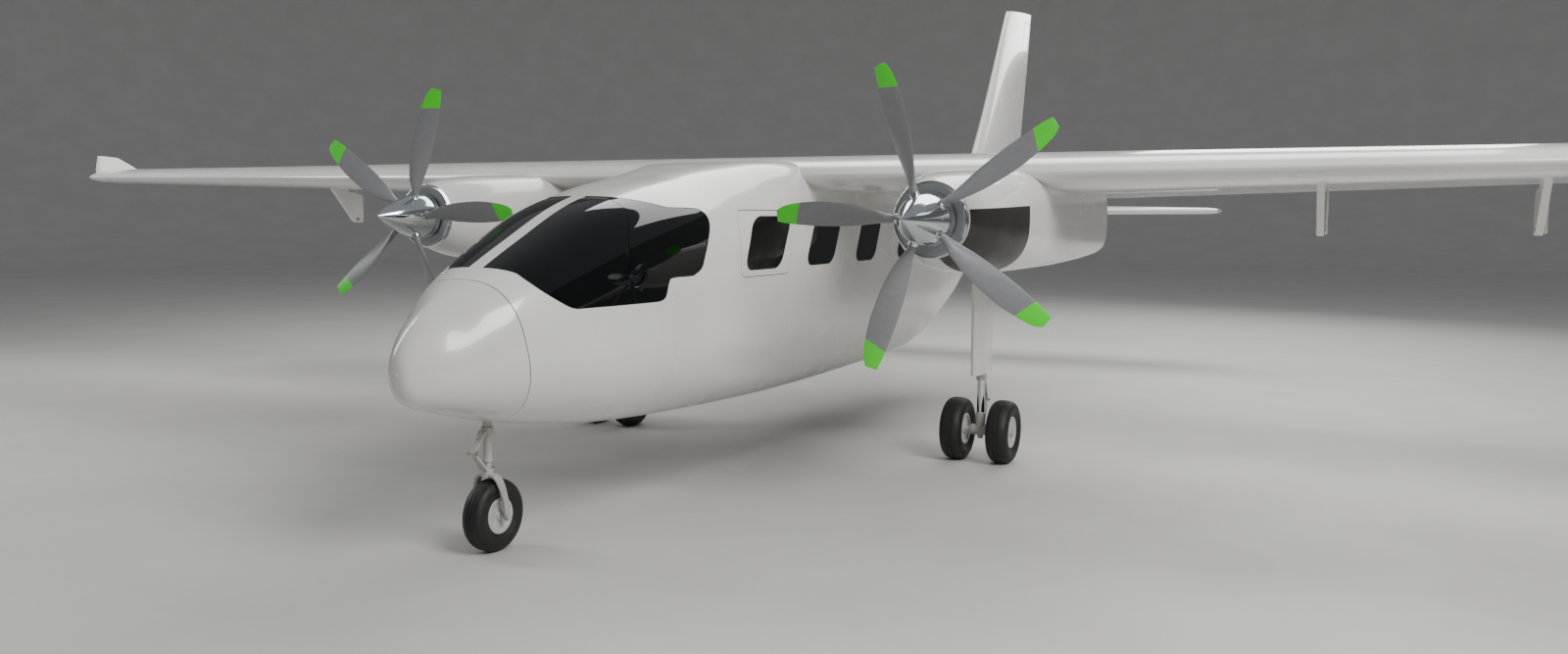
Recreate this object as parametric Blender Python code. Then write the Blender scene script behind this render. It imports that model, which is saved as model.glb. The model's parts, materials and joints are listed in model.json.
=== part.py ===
"""Twin-engined commuter airliner with a high wing, parked on its fixed wheels.

Lengths are in metres and angles in degrees. The airframe is set out in stations: y counts aft
from the plane of the two propellers, z up from the floor, and x to port. An empty called datum
carries every piece and puts that plane at its place in the finished part.
"""

import math

import bmesh
import bpy
from mathutils import Matrix, Vector

FIT = 0.0003  # gap between pieces that touch
COVE_GAP = 0.008  # gap between a control surface and the cove it turns in
END_GAP = 0.010  # gap at the ends of a control surface

PROPELLER_PLANE_Y = -3.4225
NOSE_TIP_Y = -1.985
TAIL_END_Y = 8.56

# Fuselage outline, keyed by the distance aft of the nose tip
ROOF = ((0.0, 0.998), (0.06, 1.150), (0.20, 1.275), (0.45, 1.405), (0.80, 1.575), (1.30, 1.788),
        (1.93, 1.930), (3.07, 2.070), (3.96, 2.050), (5.24, 1.930), (7.96, 1.920), (10.55, 1.880))
BELLY = ((0.0, 0.958), (0.06, 0.836), (0.20, 0.784), (0.45, 0.711), (0.80, 0.636), (1.30, 0.569),
         (1.93, 0.534), (3.46, 0.500), (5.24, 0.525), (6.36, 0.740), (7.49, 1.110), (8.96, 1.430),
         (10.55, 1.680))
HALF_WIDTH = ((0.0, 0.020), (0.06, 0.108), (0.20, 0.214), (0.45, 0.336), (0.80, 0.440), (1.30, 0.546),
              (1.93, 0.606), (2.96, 0.630), (5.24, 0.630), (6.56, 0.520), (7.96, 0.330), (9.36, 0.180),
              (10.55, 0.070))
WAIST = ((0.0, 0.46), (0.20, 0.45), (0.60, 0.47), (1.30, 0.43), (3.07, 0.45), (5.24, 0.50), (10.55, 0.50))
UPPER_SQUARENESS = ((0.0, 1.9), (0.20, 1.75), (0.50, 2.75), (0.90, 3.0), (2.00, 3.1), (2.50, 4.2),
                    (3.00, 8.0), (4.60, 8.0), (5.24, 3.1), (7.96, 2.4), (10.55, 2.0))
LOWER_SQUARENESS = ((0.0, 2.1), (0.60, 2.3), (1.60, 2.7), (3.07, 3.1), (5.24, 3.1), (7.96, 2.4),
                    (10.55, 2.0))
FUSELAGE_SIDES = 24
SEAM_POINT = (0.0, -1.544, 1.400)  # where the radome seam crosses the roof
SEAM_FOOT = (0.0, -1.415, 0.690)  # and the belly
REAR_JOINT_Y = 3.25  # the tail half starts behind the wing
REAR_WALLS = ((3.25, 0.048), (4.25, 0.048), (5.10, 0.028), (6.20, 0.028), (7.28, 0.028))  # y, thickness

# Glass
GLASS_THICKNESS = 0.012
CENTRE_POST_HALF = 0.045
PANE_GAP = 0.001  # between the two panes of a side
WINDSHIELD_FRONT = ((-0.728, 1.770), (-0.760, 1.860), (-1.540, 1.520), (-1.428, 1.452), (-1.406, 1.432),
                    (-1.398, 1.400), (-1.365, 1.354), (-1.309, 1.308), (-1.232, 1.262), (-1.185, 1.250))
PANE_SPLIT = ((-0.824, 1.252), (-0.830, 1.406), (-0.765, 1.582), (-0.640, 1.735), (-0.620, 1.766))
SIDE_WINDOW_REAR = ((-0.350, 1.756), (-0.151, 1.752), (-0.100, 1.742), (-0.068, 1.715), (-0.070, 1.663),
                    (-0.126, 1.572), (-0.187, 1.479), (-0.227, 1.420), (-0.287, 1.389), (-0.330, 1.379),
                    (-0.493, 1.376), (-0.532, 1.350), (-0.560, 1.284), (-0.585, 1.262), (-0.625, 1.254))

# Cabin door, starboard, behind the wing
DOOR_FRONT_Y = 3.36
DOOR_WIDTH = 0.66
DOOR_LOW_Z = 0.76
DOOR_HIGH_Z = 1.66
DOOR_THICKNESS = 0.030
DOOR_CORNER = 0.10
DOOR_GAP = 0.010
DOOR_HINGE = (-0.642, 3.352)
DOOR_HINGES_Z = (1.00, 1.44)
DOOR_BARREL_RADIUS = 0.012
DOOR_BARREL_LENGTH = 0.050
DOOR_PIN_RADIUS = 0.005

# Wing sections: distance out, then leading and trailing edge (y, z)
WING_SECTIONS = ((0.0, 1.050, 1.980, 3.170, 1.853), (2.25, 1.050, 1.980, 3.170, 1.853),
                 (5.10, 1.270, 2.020, 2.770, 1.940), (7.36, 1.450, 2.045, 2.590, 2.010))
WING_JOINT_X = 2.25
WING_KINK_X = 5.10
WING_TIP_X = 7.36
WING_THICKNESS = 0.12
WING_CAMBER = 0.03
AIRFOIL_POINTS = 10  # on each side
FLAP_SPAN = (2.33, 5.06)
FLAP_HINGE_FRACTION = 0.72
FLAP_BRACKETS_X = (3.65, 4.85)
FLAP_PIVOT_Z = (1.628, 1.648)  # height of the pivot line at the two brackets
FLAP_PIVOT_BACK = 0.105  # pivot line behind the nose of the flap
BRACKET_LENGTH = 0.405
BRACKET_HEEL = 0.075  # rear edge behind the pivot
BRACKET_HEIGHT = 0.232  # rear edge above the pivot
HINGE_PIN_RADIUS = 0.008
HINGE_PIN_REACH = 0.035
AILERON_SPAN = (5.16, 7.16)
AILERON_HINGE_FRACTION = 0.72
BRACKET_THICKNESS = 0.046
FLAP_ARM_THICKNESS = 0.012
FLAP_ARM_SIDE_GAP = 0.0055
FLAP_ARM_EYE_RADIUS = 0.022
PIVOT_PIN_RADIUS = 0.010

# Wing tip: distance out, share of the wing's thickness, set back
TIP_CAP_ROWS = ((FIT, 1.0, 0.0), (0.045, 0.86, 0.004), (0.080, 0.58, 0.020), (0.096, 0.22, 0.060))
WINGLET_ROWS = ((0.0, 0.0, 0.63), (0.10, 0.030, 0.46), (0.23, 0.085, 0.21))  # rise, set back, chord
WINGLET_CANT = 22.0

# Power plants
HUB_X = 1.805
HUB_Z = 1.697
PROPELLER_RADIUS = 0.861
BLADE_COUNT = 5
PORT_BLADE_PHASE = 107.0
BLADE_ROOT_RADIUS = 0.022
BLADE_SECTIONS = ((0.250, 0.091, 0.034, -0.012), (0.430, 0.139, 0.022, -0.018), (0.580, 0.147, 0.016, -0.019),
                  (0.710, 0.130, 0.011, -0.016), (0.820, 0.098, 0.008, -0.009),
                  (PROPELLER_RADIUS, 0.066, 0.006, 0.0))  # radius, chord, thickness, sweep
BLADE_CUFF = (0.080, 0.150)  # the round root, from inside the hub to outside the spinner
BLADE_HOLE_GAP = 0.006
SPINNER_TIP_Y = -0.298
SPINNER_BASE_Y = 0.118
SPINNER_RADIUS = 0.150
SPINNER_SKIRT = 0.014
SPINNER_WALL = 0.004
SPINNER_STEPS = 4
SPINNER_FULLNESS = 1.8  # 1 is a straight cone
HUB_RADIUS = 0.090
HUB_SIDES = 16
SHAFT_RADIUS = 0.032
COWL_FRONT_Y = 0.128
COWL_RADIUS = 0.212
NACELLE_FRONT_Y = 0.165
# y, lower and upper z, half width, squareness of the upper and of the lower half
NACELLE_RINGS = ((0.165, 1.485, 1.909, 0.212, 2.0, 2.0), (0.30, 1.440, 1.945, 0.270, 2.2, 2.1),
                 (0.50, 1.402, 1.972, 0.322, 2.7, 2.3), (0.80, 1.378, 1.992, 0.362, 3.3, 2.5),
                 (1.20, 1.370, 2.005, 0.388, 3.8, 2.7), (1.80, 1.372, 2.005, 0.398, 3.8, 3.1),
                 (2.45, 1.392, 1.990, 0.402, 3.8, 3.8), (2.90, 1.420, 1.980, 0.400, 3.8, 4.6))
NACELLE_WALL = 0.030
FIREWALL_Y = 1.30
ENGINE_SIZE = (0.41, 0.80, 0.34)
ENGINE_Z = 1.690
SHAFT_END_Y = 0.58

# Tail
FIN_SECTIONS = ((1.800, 5.60, 8.295, 0.190), (1.930, 5.72, 8.320, 0.190), (2.000, 5.98, 8.335, 0.190),
                (2.130, 6.300, 8.362, 0.188), (2.376, 6.583, 8.412, 0.184), (4.080, 7.780, 8.830, 0.105))
FIN_TOP_REAR_Z = 4.190
RUDDER_FOOT_Z = 1.960
RUDDER_HINGE_FOOT_Y = 7.740
RUDDER_HINGE_HEAD_Y = 8.440
RUDDER_HEAD_Z = 4.060
RUDDER_NOSE_RADII = (0.0585, 0.0385)  # at the foot and the head, a little over the fin's half thickness
TAILPLANE_Z = 1.770
TAILPLANE_SECTIONS = ((0.0, 7.400, 8.500), (2.30, 7.710, 8.370), (2.40, 7.850, 8.300))
TAILPLANE_THICKNESS = 0.11
ELEVATOR_HINGE_Y = 8.080
ELEVATOR_SPAN = (0.175, 2.26)
TORQUE_TUBE_RADIUS = 0.014

# Nose gear
NOSE_LEG_Y = -1.375
NOSE_AXLE_Y = -1.340
WHEEL_SIDES = 16
RIM_SEAT_SHARE = 0.36  # bead seats, from the middle of the wheel, as a share of the tyre's width
NOSE_TYRE_RADIUS = 0.187
NOSE_TYRE_WIDTH = 0.125
NOSE_RIM_RADIUS = 0.088
NOSE_LEG_RADIUS = 0.023
NOSE_PISTON_RADIUS = 0.019
NOSE_LEG_HEAD_Z = 0.800
NOSE_LEG_FOOT_Z = 0.470
NOSE_CROWN_Z = 0.400
NOSE_CROWN_RADIUS = 0.030
NOSE_CROWN_HEIGHT = 0.035
NOSE_AXLE_RADIUS = 0.012
NOSE_HUB_RADIUS = 0.024
NOSE_COLLAR_Z = 0.612
NOSE_COLLAR_HEIGHT = 0.036
NOSE_COLLAR_RADIUS = 0.032
NOSE_LINK_KNEE = (-0.108, 0.530)  # distance behind the leg and height

# Main gear
MAIN_X = 1.552
MAIN_Y = 1.970
MAIN_TYRE_RADIUS = 0.219
MAIN_TYRE_WIDTH = 0.158
MAIN_TYRE_OFFSET = 0.165
MAIN_RIM_RADIUS = 0.103
MAIN_LEG_FOOT_Z = 0.620
MAIN_LEG_CHORD = 0.440
MAIN_LEG_THICKNESS = 0.074
MAIN_PISTON_RADIUS = 0.028
MAIN_AXLE_RADIUS = 0.022
MAIN_HUB_RADIUS = 0.034
MAIN_BARREL_HALF = 0.066
MAIN_BARREL_RADIUS = 0.038
MAIN_COLLAR_HEIGHT = 0.050
MAIN_COLLAR_RADIUS = 0.035
MAIN_LINK_KNEE = (0.120, 0.420)  # distance behind the leg and height
JACK_PAD_DROP = 0.060  # below the axle
JACK_PAD_RADIUS = 0.020

MATERIALS = {}


def clear_scene():
    for item in list(bpy.data.objects):
        bpy.data.objects.remove(item, do_unlink=True)


def material(name, colour, roughness, metallic=0.0):
    finish = bpy.data.materials.new(name)
    finish.use_nodes = True
    shader = finish.node_tree.nodes["Principled BSDF"]
    shader.inputs["Base Color"].default_value = (*colour, 1.0)
    shader.inputs["Roughness"].default_value = roughness
    shader.inputs["Metallic"].default_value = metallic
    MATERIALS[name] = finish


def make_materials():
    material("white enamel", (0.62, 0.61, 0.59), 0.25)
    material("radome enamel", (0.62, 0.61, 0.59), 0.25)
    material("dark glass", (0.012, 0.013, 0.015), 0.05)
    material("polished spinner", (0.75, 0.80, 0.82), 0.08, 1.0)
    material("satin blade", (0.22, 0.22, 0.23), 0.35, 0.3)
    material("brushed cowl", (0.35, 0.35, 0.36), 0.3, 1.0)
    material("engine casting", (0.30, 0.30, 0.31), 0.5, 0.6)
    material("gear steel", (0.45, 0.45, 0.44), 0.35, 0.5)
    material("wheel alloy", (0.40, 0.40, 0.41), 0.4, 0.7)
    material("tyre rubber", (0.02, 0.02, 0.02), 0.75)


def place(name, shape, finish, pivot=(0.0, 0.0, 0.0), smooth_angle=35.0):
    """Store a shape as one named piece, with its origin at pivot and datum as its parent."""
    pivot = Vector(pivot)
    bmesh.ops.translate(shape, verts=shape.verts, vec=-pivot)
    mesh = bpy.data.meshes.new(name)
    shape.to_mesh(mesh)
    shape.free()
    mesh.shade_smooth()
    mesh.set_sharp_from_angle(angle=math.radians(smooth_angle))
    mesh.materials.append(MATERIALS[finish])
    piece = bpy.data.objects.new(name, mesh)
    bpy.context.scene.collection.objects.link(piece)
    piece.parent = bpy.data.objects["datum"]
    piece.location = pivot
    return piece


def mirrored(shape):
    """Copy a port shape to starboard."""
    twin = shape.copy()
    bmesh.ops.scale(twin, verts=twin.verts, vec=(-1.0, 1.0, 1.0))
    bmesh.ops.reverse_faces(twin, faces=twin.faces)
    return twin


def place_pair(name, shape, finish, pivot=(0.0, 0.0, 0.0), smooth_angle=35.0):
    """Place a port shape and its starboard twin."""
    twin = mirrored(shape)
    place(f"{name}_port", shape, finish, pivot, smooth_angle)
    place(f"{name}_starboard", twin, finish, (-pivot[0], pivot[1], pivot[2]), smooth_angle)


def combine(shape, other, operation):
    """Cut, keep or join one shape with another and return the result."""
    holders = []
    for item in (shape, other):
        mesh = bpy.data.meshes.new("work")
        item.to_mesh(mesh)
        item.free()
        holder = bpy.data.objects.new("work", mesh)
        bpy.context.scene.collection.objects.link(holder)
        holders.append(holder)
    target, tool = holders
    boolean = target.modifiers.new("combine", "BOOLEAN")
    boolean.operation = operation
    boolean.solver = "EXACT"
    boolean.object = tool
    graph = bpy.context.evaluated_depsgraph_get()
    mesh = bpy.data.meshes.new_from_object(target.evaluated_get(graph))
    result = bmesh.new()
    result.from_mesh(mesh)
    bmesh.ops.remove_doubles(result, verts=result.verts, dist=0.00002)
    bmesh.ops.dissolve_degenerate(result, dist=0.00002, edges=result.edges)
    bmesh.ops.triangulate(result, faces=result.faces)
    for holder in holders:
        bpy.data.objects.remove(holder, do_unlink=True)
    return result


def cut(shape, tool):
    return combine(shape, tool, "DIFFERENCE")


def keep(shape, tool):
    return combine(shape, tool, "INTERSECT")


def join(shape, tool):
    return combine(shape, tool, "UNION")


def loft(rings):
    """Join rings of equally many points with quads, point to point, and close both ends."""
    shape = bmesh.new()
    loops = [[shape.verts.new(point) for point in ring] for ring in rings]
    for first, second in zip(loops, loops[1:]):
        for i, j in zip(range(-1, len(first) - 1), range(len(first))):
            shape.faces.new((first[i], first[j], second[j], second[i]))
    shape.faces.new(loops[0])
    shape.faces.new(loops[-1])
    bmesh.ops.recalc_face_normals(shape, faces=shape.faces)
    bmesh.ops.triangulate(shape, faces=shape.faces)  # so that a mirrored copy bends the same way
    return shape


def prism(outline, start, end):
    """A solid with the same outline of points at start and at end, both given as offsets."""
    return loft([[Vector(point) + Vector(offset) for point in outline] for offset in (start, end)])


def turned(profile, centre, axis, steps):
    """Turn a profile of (radius, distance along the axis) about an axis through centre.

    The first and the opposite corner of the turned ring lie straight above and below the axis.
    """
    axis = Vector(axis)
    upright = Vector((0, 0, 1)) if abs(axis.z) < 0.7 else Vector((0, 1, 0))
    across = (upright - axis * axis.dot(upright)).normalized()
    shape = bmesh.new()
    points = [shape.verts.new(Vector(centre) + axis * along + across * radius) for radius, along in profile]
    edges = [shape.edges.new(pair) for pair in zip(points, points[1:])]
    if profile[0][0] > 0.0:
        edges.append(shape.edges.new((points[-1], points[0])))
    bmesh.ops.spin(shape, geom=points + edges, cent=centre, axis=axis, angle=math.tau, steps=steps,
                   use_merge=True)
    bmesh.ops.remove_doubles(shape, verts=shape.verts, dist=0.00001)
    bmesh.ops.recalc_face_normals(shape, faces=shape.faces)
    return shape


def rod(start, end, radius, steps=10):
    start = Vector(start)
    span = Vector(end) - start
    profile = ((0.0, 0.0), (radius, 0.0), (radius, span.length), (0.0, span.length))
    return turned(profile, start, span.normalized(), steps)


def bore(start, end, radius, steps=10):
    """A hole for a rod of this radius, whose flats stand clear of the rod at any angle."""
    return rod(start, end, (radius + FIT) / math.cos(math.pi / steps), steps)


def box(low, high):
    (x0, y0, z0), (x1, y1, z1) = low, high
    outline = ((x0, y0, z0), (x1, y0, z0), (x1, y1, z0), (x0, y1, z0))
    return prism(outline, (0, 0, 0), (0, 0, z1 - z0))


def read_curve(table, key):
    """Read a smooth curve through a table's points, by cubic pieces that never overshoot."""
    keys = [row[0] for row in table]
    values = [row[1] for row in table]
    if key <= keys[0]:
        return values[0]
    if key >= keys[-1]:
        return values[-1]
    steps = [(b - a) / (d - c) for a, b, c, d in zip(values, values[1:], keys, keys[1:])]
    slopes = [steps[0]]
    for before, after in zip(steps, steps[1:]):
        slopes.append(0.0 if before * after <= 0.0 else 2.0 * before * after / (before + after))
    slopes.append(steps[-1])
    index = max(i for i, start in enumerate(keys[:-1]) if start <= key)
    width = keys[index + 1] - keys[index]
    t = (key - keys[index]) / width
    return (values[index] * (1 + 2 * t) * (1 - t) ** 2 + values[index + 1] * t * t * (3 - 2 * t)
            + width * (slopes[index] * t * (1 - t) ** 2 + slopes[index + 1] * t * t * (t - 1)))


def read_outline(table, distance):
    """Read a fuselage outline by the root of the distance, in which a round nose is straight."""
    return read_curve([(math.sqrt(key), value) for key, value in table], math.sqrt(max(distance, 0.0)))


def rounded_ring(centre_x, y, low, high, half_width, power, sides, lower_power=None, waist=0.5):
    """A superellipse across the airframe; power 2 is an ellipse and more is squarer.

    The waist is the height of the widest place, as a share of the whole height.
    """
    ring = []
    middle = low + (high - low) * waist
    for step in range(sides):
        angle = math.tau * (step + 0.5) / sides
        upper = math.sin(angle) > 0.0
        exponent = 2 / (power if upper or lower_power is None else lower_power)
        across = math.copysign(abs(math.cos(angle)) ** exponent, math.cos(angle))
        reach = high - middle if upper else low - middle
        ring.append((centre_x + half_width * across, y, middle + reach * abs(math.sin(angle)) ** exponent))
    return ring


def fuselage_ring(y, inset=0.0):
    distance = y - NOSE_TIP_Y
    half_width = read_outline(HALF_WIDTH, distance)
    inset = min(inset, half_width * 0.9)
    return rounded_ring(0.0, y, read_outline(BELLY, distance) + inset, read_outline(ROOF, distance) - inset,
                        half_width - inset, read_outline(UPPER_SQUARENESS, distance), FUSELAGE_SIDES,
                        read_outline(LOWER_SQUARENESS, distance), read_outline(WAIST, distance))


def front_stations(last):
    """Stations from the nose tip back, close together where the nose is round."""
    stations = []
    root = 0.0
    while NOSE_TIP_Y + root * root < last - 0.12:
        stations.append(NOSE_TIP_Y + root * root)
        root += 0.12 if root < 1.4 else 0.24
    return stations + [last]


def front_body(inset=0.0):
    return loft([fuselage_ring(y, inset) for y in front_stations(REAR_JOINT_Y)])


def rear_body(inset=0.0, front=REAR_JOINT_Y, rear=TAIL_END_Y, steps=9):
    return loft([fuselage_ring(front + (rear - front) * i / steps, inset) for i in range(steps + 1)])


def airfoil_ring(leading, trailing, thickness, camber, grow=0.0, points=AIRFOIL_POINTS, up=(0.0, 0.0, 1.0)):
    """Points round an airfoil, from the trailing edge over the top and back underneath."""
    leading = Vector(leading)
    chord = Vector(trailing) - leading
    length = chord.length
    along = chord.normalized()
    up = Vector(up)
    up = (up - along * up.dot(along)).normalized()
    ring = []
    for side in (1.0, -1.0):
        for index in range(points):
            s = (1 + math.cos(math.pi * index / (points - 0.5))) / 2
            if side < 0:
                s = (1 - math.cos(math.pi * (index + 0.5) / (points - 0.5))) / 2
            half = 5 * thickness * (0.2969 * math.sqrt(s) - 0.1260 * s - 0.3516 * s ** 2
                                    + 0.2843 * s ** 3 - 0.1036 * s ** 4)
            bow = 4 * camber * s * (1 - s)
            lift = length * (bow + side * half) + side * (0.002 * s + grow)
            reach = (s - 0.5) * (length + 2 * grow) + 0.5 * length
            ring.append(leading + along * reach + up * lift)
    return ring


def wing_station(x):
    """Leading and trailing edge points at a distance out along the wing."""
    for inner, outer in zip(WING_SECTIONS, WING_SECTIONS[1:]):
        if inner[0] <= x <= outer[0]:
            t = (x - inner[0]) / (outer[0] - inner[0])
            row = [a + (b - a) * t for a, b in zip(inner, outer)]
            return Vector((x, row[1], row[2])), Vector((x, row[3], row[4]))
    raise ValueError(x)


def wing_ring(x, grow=0.0):
    leading, trailing = wing_station(abs(x))
    leading.x = trailing.x = x
    return airfoil_ring(leading, trailing, WING_THICKNESS, WING_CAMBER, grow)


def wing_hinge(x, fraction):
    """Centre and half thickness of the wing at a fraction of its chord."""
    leading, trailing = wing_station(x)
    chord = trailing - leading
    half = 5 * WING_THICKNESS * (0.2969 * math.sqrt(fraction) - 0.1260 * fraction - 0.3516 * fraction ** 2
                                 + 0.2843 * fraction ** 3 - 0.1036 * fraction ** 4)
    bow = 4 * WING_CAMBER * fraction * (1 - fraction)
    centre = leading + chord * fraction + Vector((0.0, 0.0, chord.length * bow))
    return centre, half * chord.length + 0.001


def hinge_zone(first, second, first_radius, second_radius, across, turn_axis=(1.0, 0.0, 0.0)):
    """Everything behind a hinge line, with a round front of the given radii about that line.

    Both ends are cut square to the turn axis, so that they stay clear while the surface turns.
    """
    across = Vector(across)
    turn_axis = Vector(turn_axis)
    reach, depth, arc_steps = 1.2, 0.35, 8
    rings = []
    for centre, radius in ((first, first_radius), (second, second_radius)):
        ring = [centre + Vector((0, reach, 0)) + across * depth, centre + across * depth]
        for step in range(arc_steps + 1):
            angle = math.pi * (0.5 - step / arc_steps)
            ring.append(centre + across * radius * math.sin(angle)
                        - Vector((0, 1, 0)) * radius * math.cos(angle))
        ring += [centre - across * depth, centre + Vector((0, reach, 0)) - across * depth]
        if turn_axis.x > 0.0:
            ring = [point - Vector((turn_axis.dot(point - centre) / turn_axis.x, 0, 0)) for point in ring]
        rings.append(ring)
    return loft(rings)


def wing_surface_zone(span, fraction, clearance, end_gap, turn_axis=(1.0, 0.0, 0.0)):
    """The zone of a flap or aileron on the port wing."""
    ends = []
    for x in (span[0] + end_gap, span[1] - end_gap):
        centre, radius = wing_hinge(x, fraction)
        ends.append((centre, radius + clearance))
    return hinge_zone(ends[0][0], ends[1][0], ends[0][1], ends[1][1], (0, 0, 1), turn_axis)


def seam_plane():
    """A point on the radome seam and its normal, pointing aft."""
    point = Vector(SEAM_POINT)
    slope = Vector(SEAM_FOOT) - point
    return point, Vector((0.0, -slope.z, slope.y)).normalized()


def halved(shape, point, normal):
    """Keep the half of a shape that lies behind a plane's normal, and close the cut."""
    geometry = list(shape.verts) + list(shape.edges) + list(shape.faces)
    bmesh.ops.bisect_plane(shape, geom=geometry, plane_co=point, plane_no=normal, clear_outer=True)
    open_edges = [edge for edge in shape.edges if edge.is_boundary]
    bmesh.ops.contextual_create(shape, geom=open_edges)
    bmesh.ops.recalc_face_normals(shape, faces=shape.faces)
    return shape


def over_wing_zone():
    """The wing's own space over a nacelle, with all that lies above it."""
    leading, trailing = wing_station(0.0)
    under = airfoil_ring(leading, trailing, WING_THICKNESS, WING_CAMBER, FIT)[AIRFOIL_POINTS:]
    ring = [Vector((0, trailing.y + FIT, 2.6)), Vector((0, leading.y - 2 * FIT, 2.6))] + under
    ring.append(Vector((0, trailing.y + FIT, trailing.z - FIT)))
    return prism(ring, (-WING_JOINT_X, 0, 0), (WING_JOINT_X, 0, 0))


def grown(outline, grow):
    """Move each side of a flat (y, z) outline outward by the same distance."""
    count = len(outline)
    area = sum(outline[i - 1][0] * outline[i][1] - outline[i][0] * outline[i - 1][1] for i in range(count))
    normals = []
    for i in range(count):
        along = Vector(outline[i]) - Vector(outline[i - 1])
        normals.append(Vector((along.y, -along.x)).normalized() * math.copysign(1.0, area))
    ring = []
    for i in range(count):
        before, after = normals[i], normals[(i + 1) % count]
        corner = Vector(outline[i]) + (before + after) / (1 + before.dot(after)) * grow
        ring.append((0.0, corner.x, corner.y))
    return ring


def glass_zone(outline, grow):
    """One level prism through the port side of the cockpit, from the centre post outward."""
    return prism(grown(outline, grow), (CENTRE_POST_HALF - grow, 0, 0), (0.90, 0, 0))


def windshield_zone(grow):
    return glass_zone(WINDSHIELD_FRONT + PANE_SPLIT, grow)


def side_window_zone(grow):
    split = tuple((y + PANE_GAP, z) for y, z in PANE_SPLIT)
    return glass_zone(SIDE_WINDOW_REAR + split, grow)


def pane(zone):
    return cut(keep(front_body(), zone(0.0)), front_body(GLASS_THICKNESS))


def pane_seat(zone):
    return cut(zone(FIT), front_body(GLASS_THICKNESS + FIT))


def build_glass():
    place_pair("windshield", pane(windshield_zone), "dark glass")
    place_pair("side_window", pane(side_window_zone), "dark glass")


def build_forward_fuselage():
    point, normal = seam_plane()
    place("nose_cone", halved(front_body(), point - normal * FIT, normal), "radome enamel")
    body = halved(front_body(), point, -normal)
    body = cut(body, bore((0, NOSE_LEG_Y, 0.3), (0, NOSE_LEG_Y, NOSE_LEG_HEAD_Z + FIT), NOSE_LEG_RADIUS, 14))
    body = cut(body, loft([wing_ring(x, FIT) for x in (-WING_JOINT_X, WING_JOINT_X)]))
    for zone in (windshield_zone, side_window_zone):
        seat = pane_seat(zone)
        twin = mirrored(seat)
        body = cut(body, seat)
        body = cut(body, twin)
    place("fuselage_forward", body, "white enamel")


def door_outline(grow):
    """Rounded rectangle of the cabin door, seen from the side."""
    corners = ((DOOR_FRONT_Y + DOOR_CORNER, DOOR_LOW_Z + DOOR_CORNER, 180.0),
               (DOOR_FRONT_Y + DOOR_WIDTH - DOOR_CORNER, DOOR_LOW_Z + DOOR_CORNER, 270.0),
               (DOOR_FRONT_Y + DOOR_WIDTH - DOOR_CORNER, DOOR_HIGH_Z - DOOR_CORNER, 0.0),
               (DOOR_FRONT_Y + DOOR_CORNER, DOOR_HIGH_Z - DOOR_CORNER, 90.0))
    outline = []
    for y, z, start in corners:
        for step in range(4):
            angle = math.radians(start + 30.0 * step)
            radius = DOOR_CORNER + grow
            outline.append(Vector((0.0, y + radius * math.cos(angle), z + radius * math.sin(angle))))
    return outline


def door_zone(grow):
    return prism(door_outline(grow), (-0.90, 0, 0), (-0.25, 0, 0))


def door_hinge_parts():
    """Fixed barrels with bores, and the door's barrels with pins, on one upright line."""
    x, y = DOOR_HINGE
    fixed, moving, bores = [], [], []
    for z in DOOR_HINGES_Z:
        top = z + DOOR_BARREL_LENGTH
        fixed.append(rod((x, y, z), (x, y, top - FIT), DOOR_BARREL_RADIUS))
        fixed.append(box((x + 0.002, y - 0.040, z), (x + 0.045, y, top - FIT)))
        bores.append(bore((x, y, z + 0.010), (x, y, top + 0.02), DOOR_PIN_RADIUS))
        moving.append(rod((x, y, top), (x, y, top + DOOR_BARREL_LENGTH), DOOR_BARREL_RADIUS))
        moving.append(box((x - 0.006, y, top), (x + 0.042, y + 0.050, top + DOOR_BARREL_LENGTH)))
        moving.append(rod((x, y, z + 0.012), (x, y, top + 0.010), DOOR_PIN_RADIUS))
    return fixed, moving, bores


def build_rear_fuselage():
    front = REAR_JOINT_Y + FIT
    outside = [fuselage_ring(TAIL_END_Y + (front - TAIL_END_Y) * i / 10) for i in range(11)]
    inside = [fuselage_ring(max(y, front), thickness) for y, thickness in REAR_WALLS]
    body = loft(outside + inside)
    depth = DOOR_THICKNESS + DOOR_GAP
    body = cut(body, cut(door_zone(DOOR_GAP), rear_body(depth, REAR_JOINT_Y, 6.0, 5)))
    door = keep(rear_body(0.0, REAR_JOINT_Y, 6.0, 5), door_zone(0.0))
    door = cut(door, rear_body(DOOR_THICKNESS, REAR_JOINT_Y, 6.0, 5))
    fixed, moving, bores = door_hinge_parts()
    for piece in fixed:
        body = join(body, piece)
    for piece in bores:
        body = cut(body, piece)
    for piece in moving:
        door = join(door, piece)
    body = cut(body, tailplane_body(FIT))
    body = cut(body, bore((-0.4, ELEVATOR_HINGE_Y, TAILPLANE_Z), (0.4, ELEVATOR_HINGE_Y, TAILPLANE_Z),
                          TORQUE_TUBE_RADIUS))
    place("fuselage_rear", body, "white enamel")
    place("cabin_door", door, "white enamel", (DOOR_HINGE[0], DOOR_HINGE[1], DOOR_LOW_Z))


def outer_wing():
    return loft([wing_ring(x) for x in (WING_JOINT_X + FIT, WING_KINK_X, WING_TIP_X)])


def flap_pivot(x):
    """Point of the flap's pivot line at a distance out along the wing."""
    points = []
    for bracket_x, z in zip(FLAP_BRACKETS_X, FLAP_PIVOT_Z):
        centre, radius = wing_hinge(bracket_x, FLAP_HINGE_FRACTION)
        points.append(Vector((bracket_x, centre.y - radius + FLAP_PIVOT_BACK, z)))
    t = (x - points[0].x) / (points[1].x - points[0].x)
    return points[0].lerp(points[1], t)


def flap_axis():
    return (flap_pivot(FLAP_BRACKETS_X[1]) - flap_pivot(FLAP_BRACKETS_X[0])).normalized()


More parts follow.
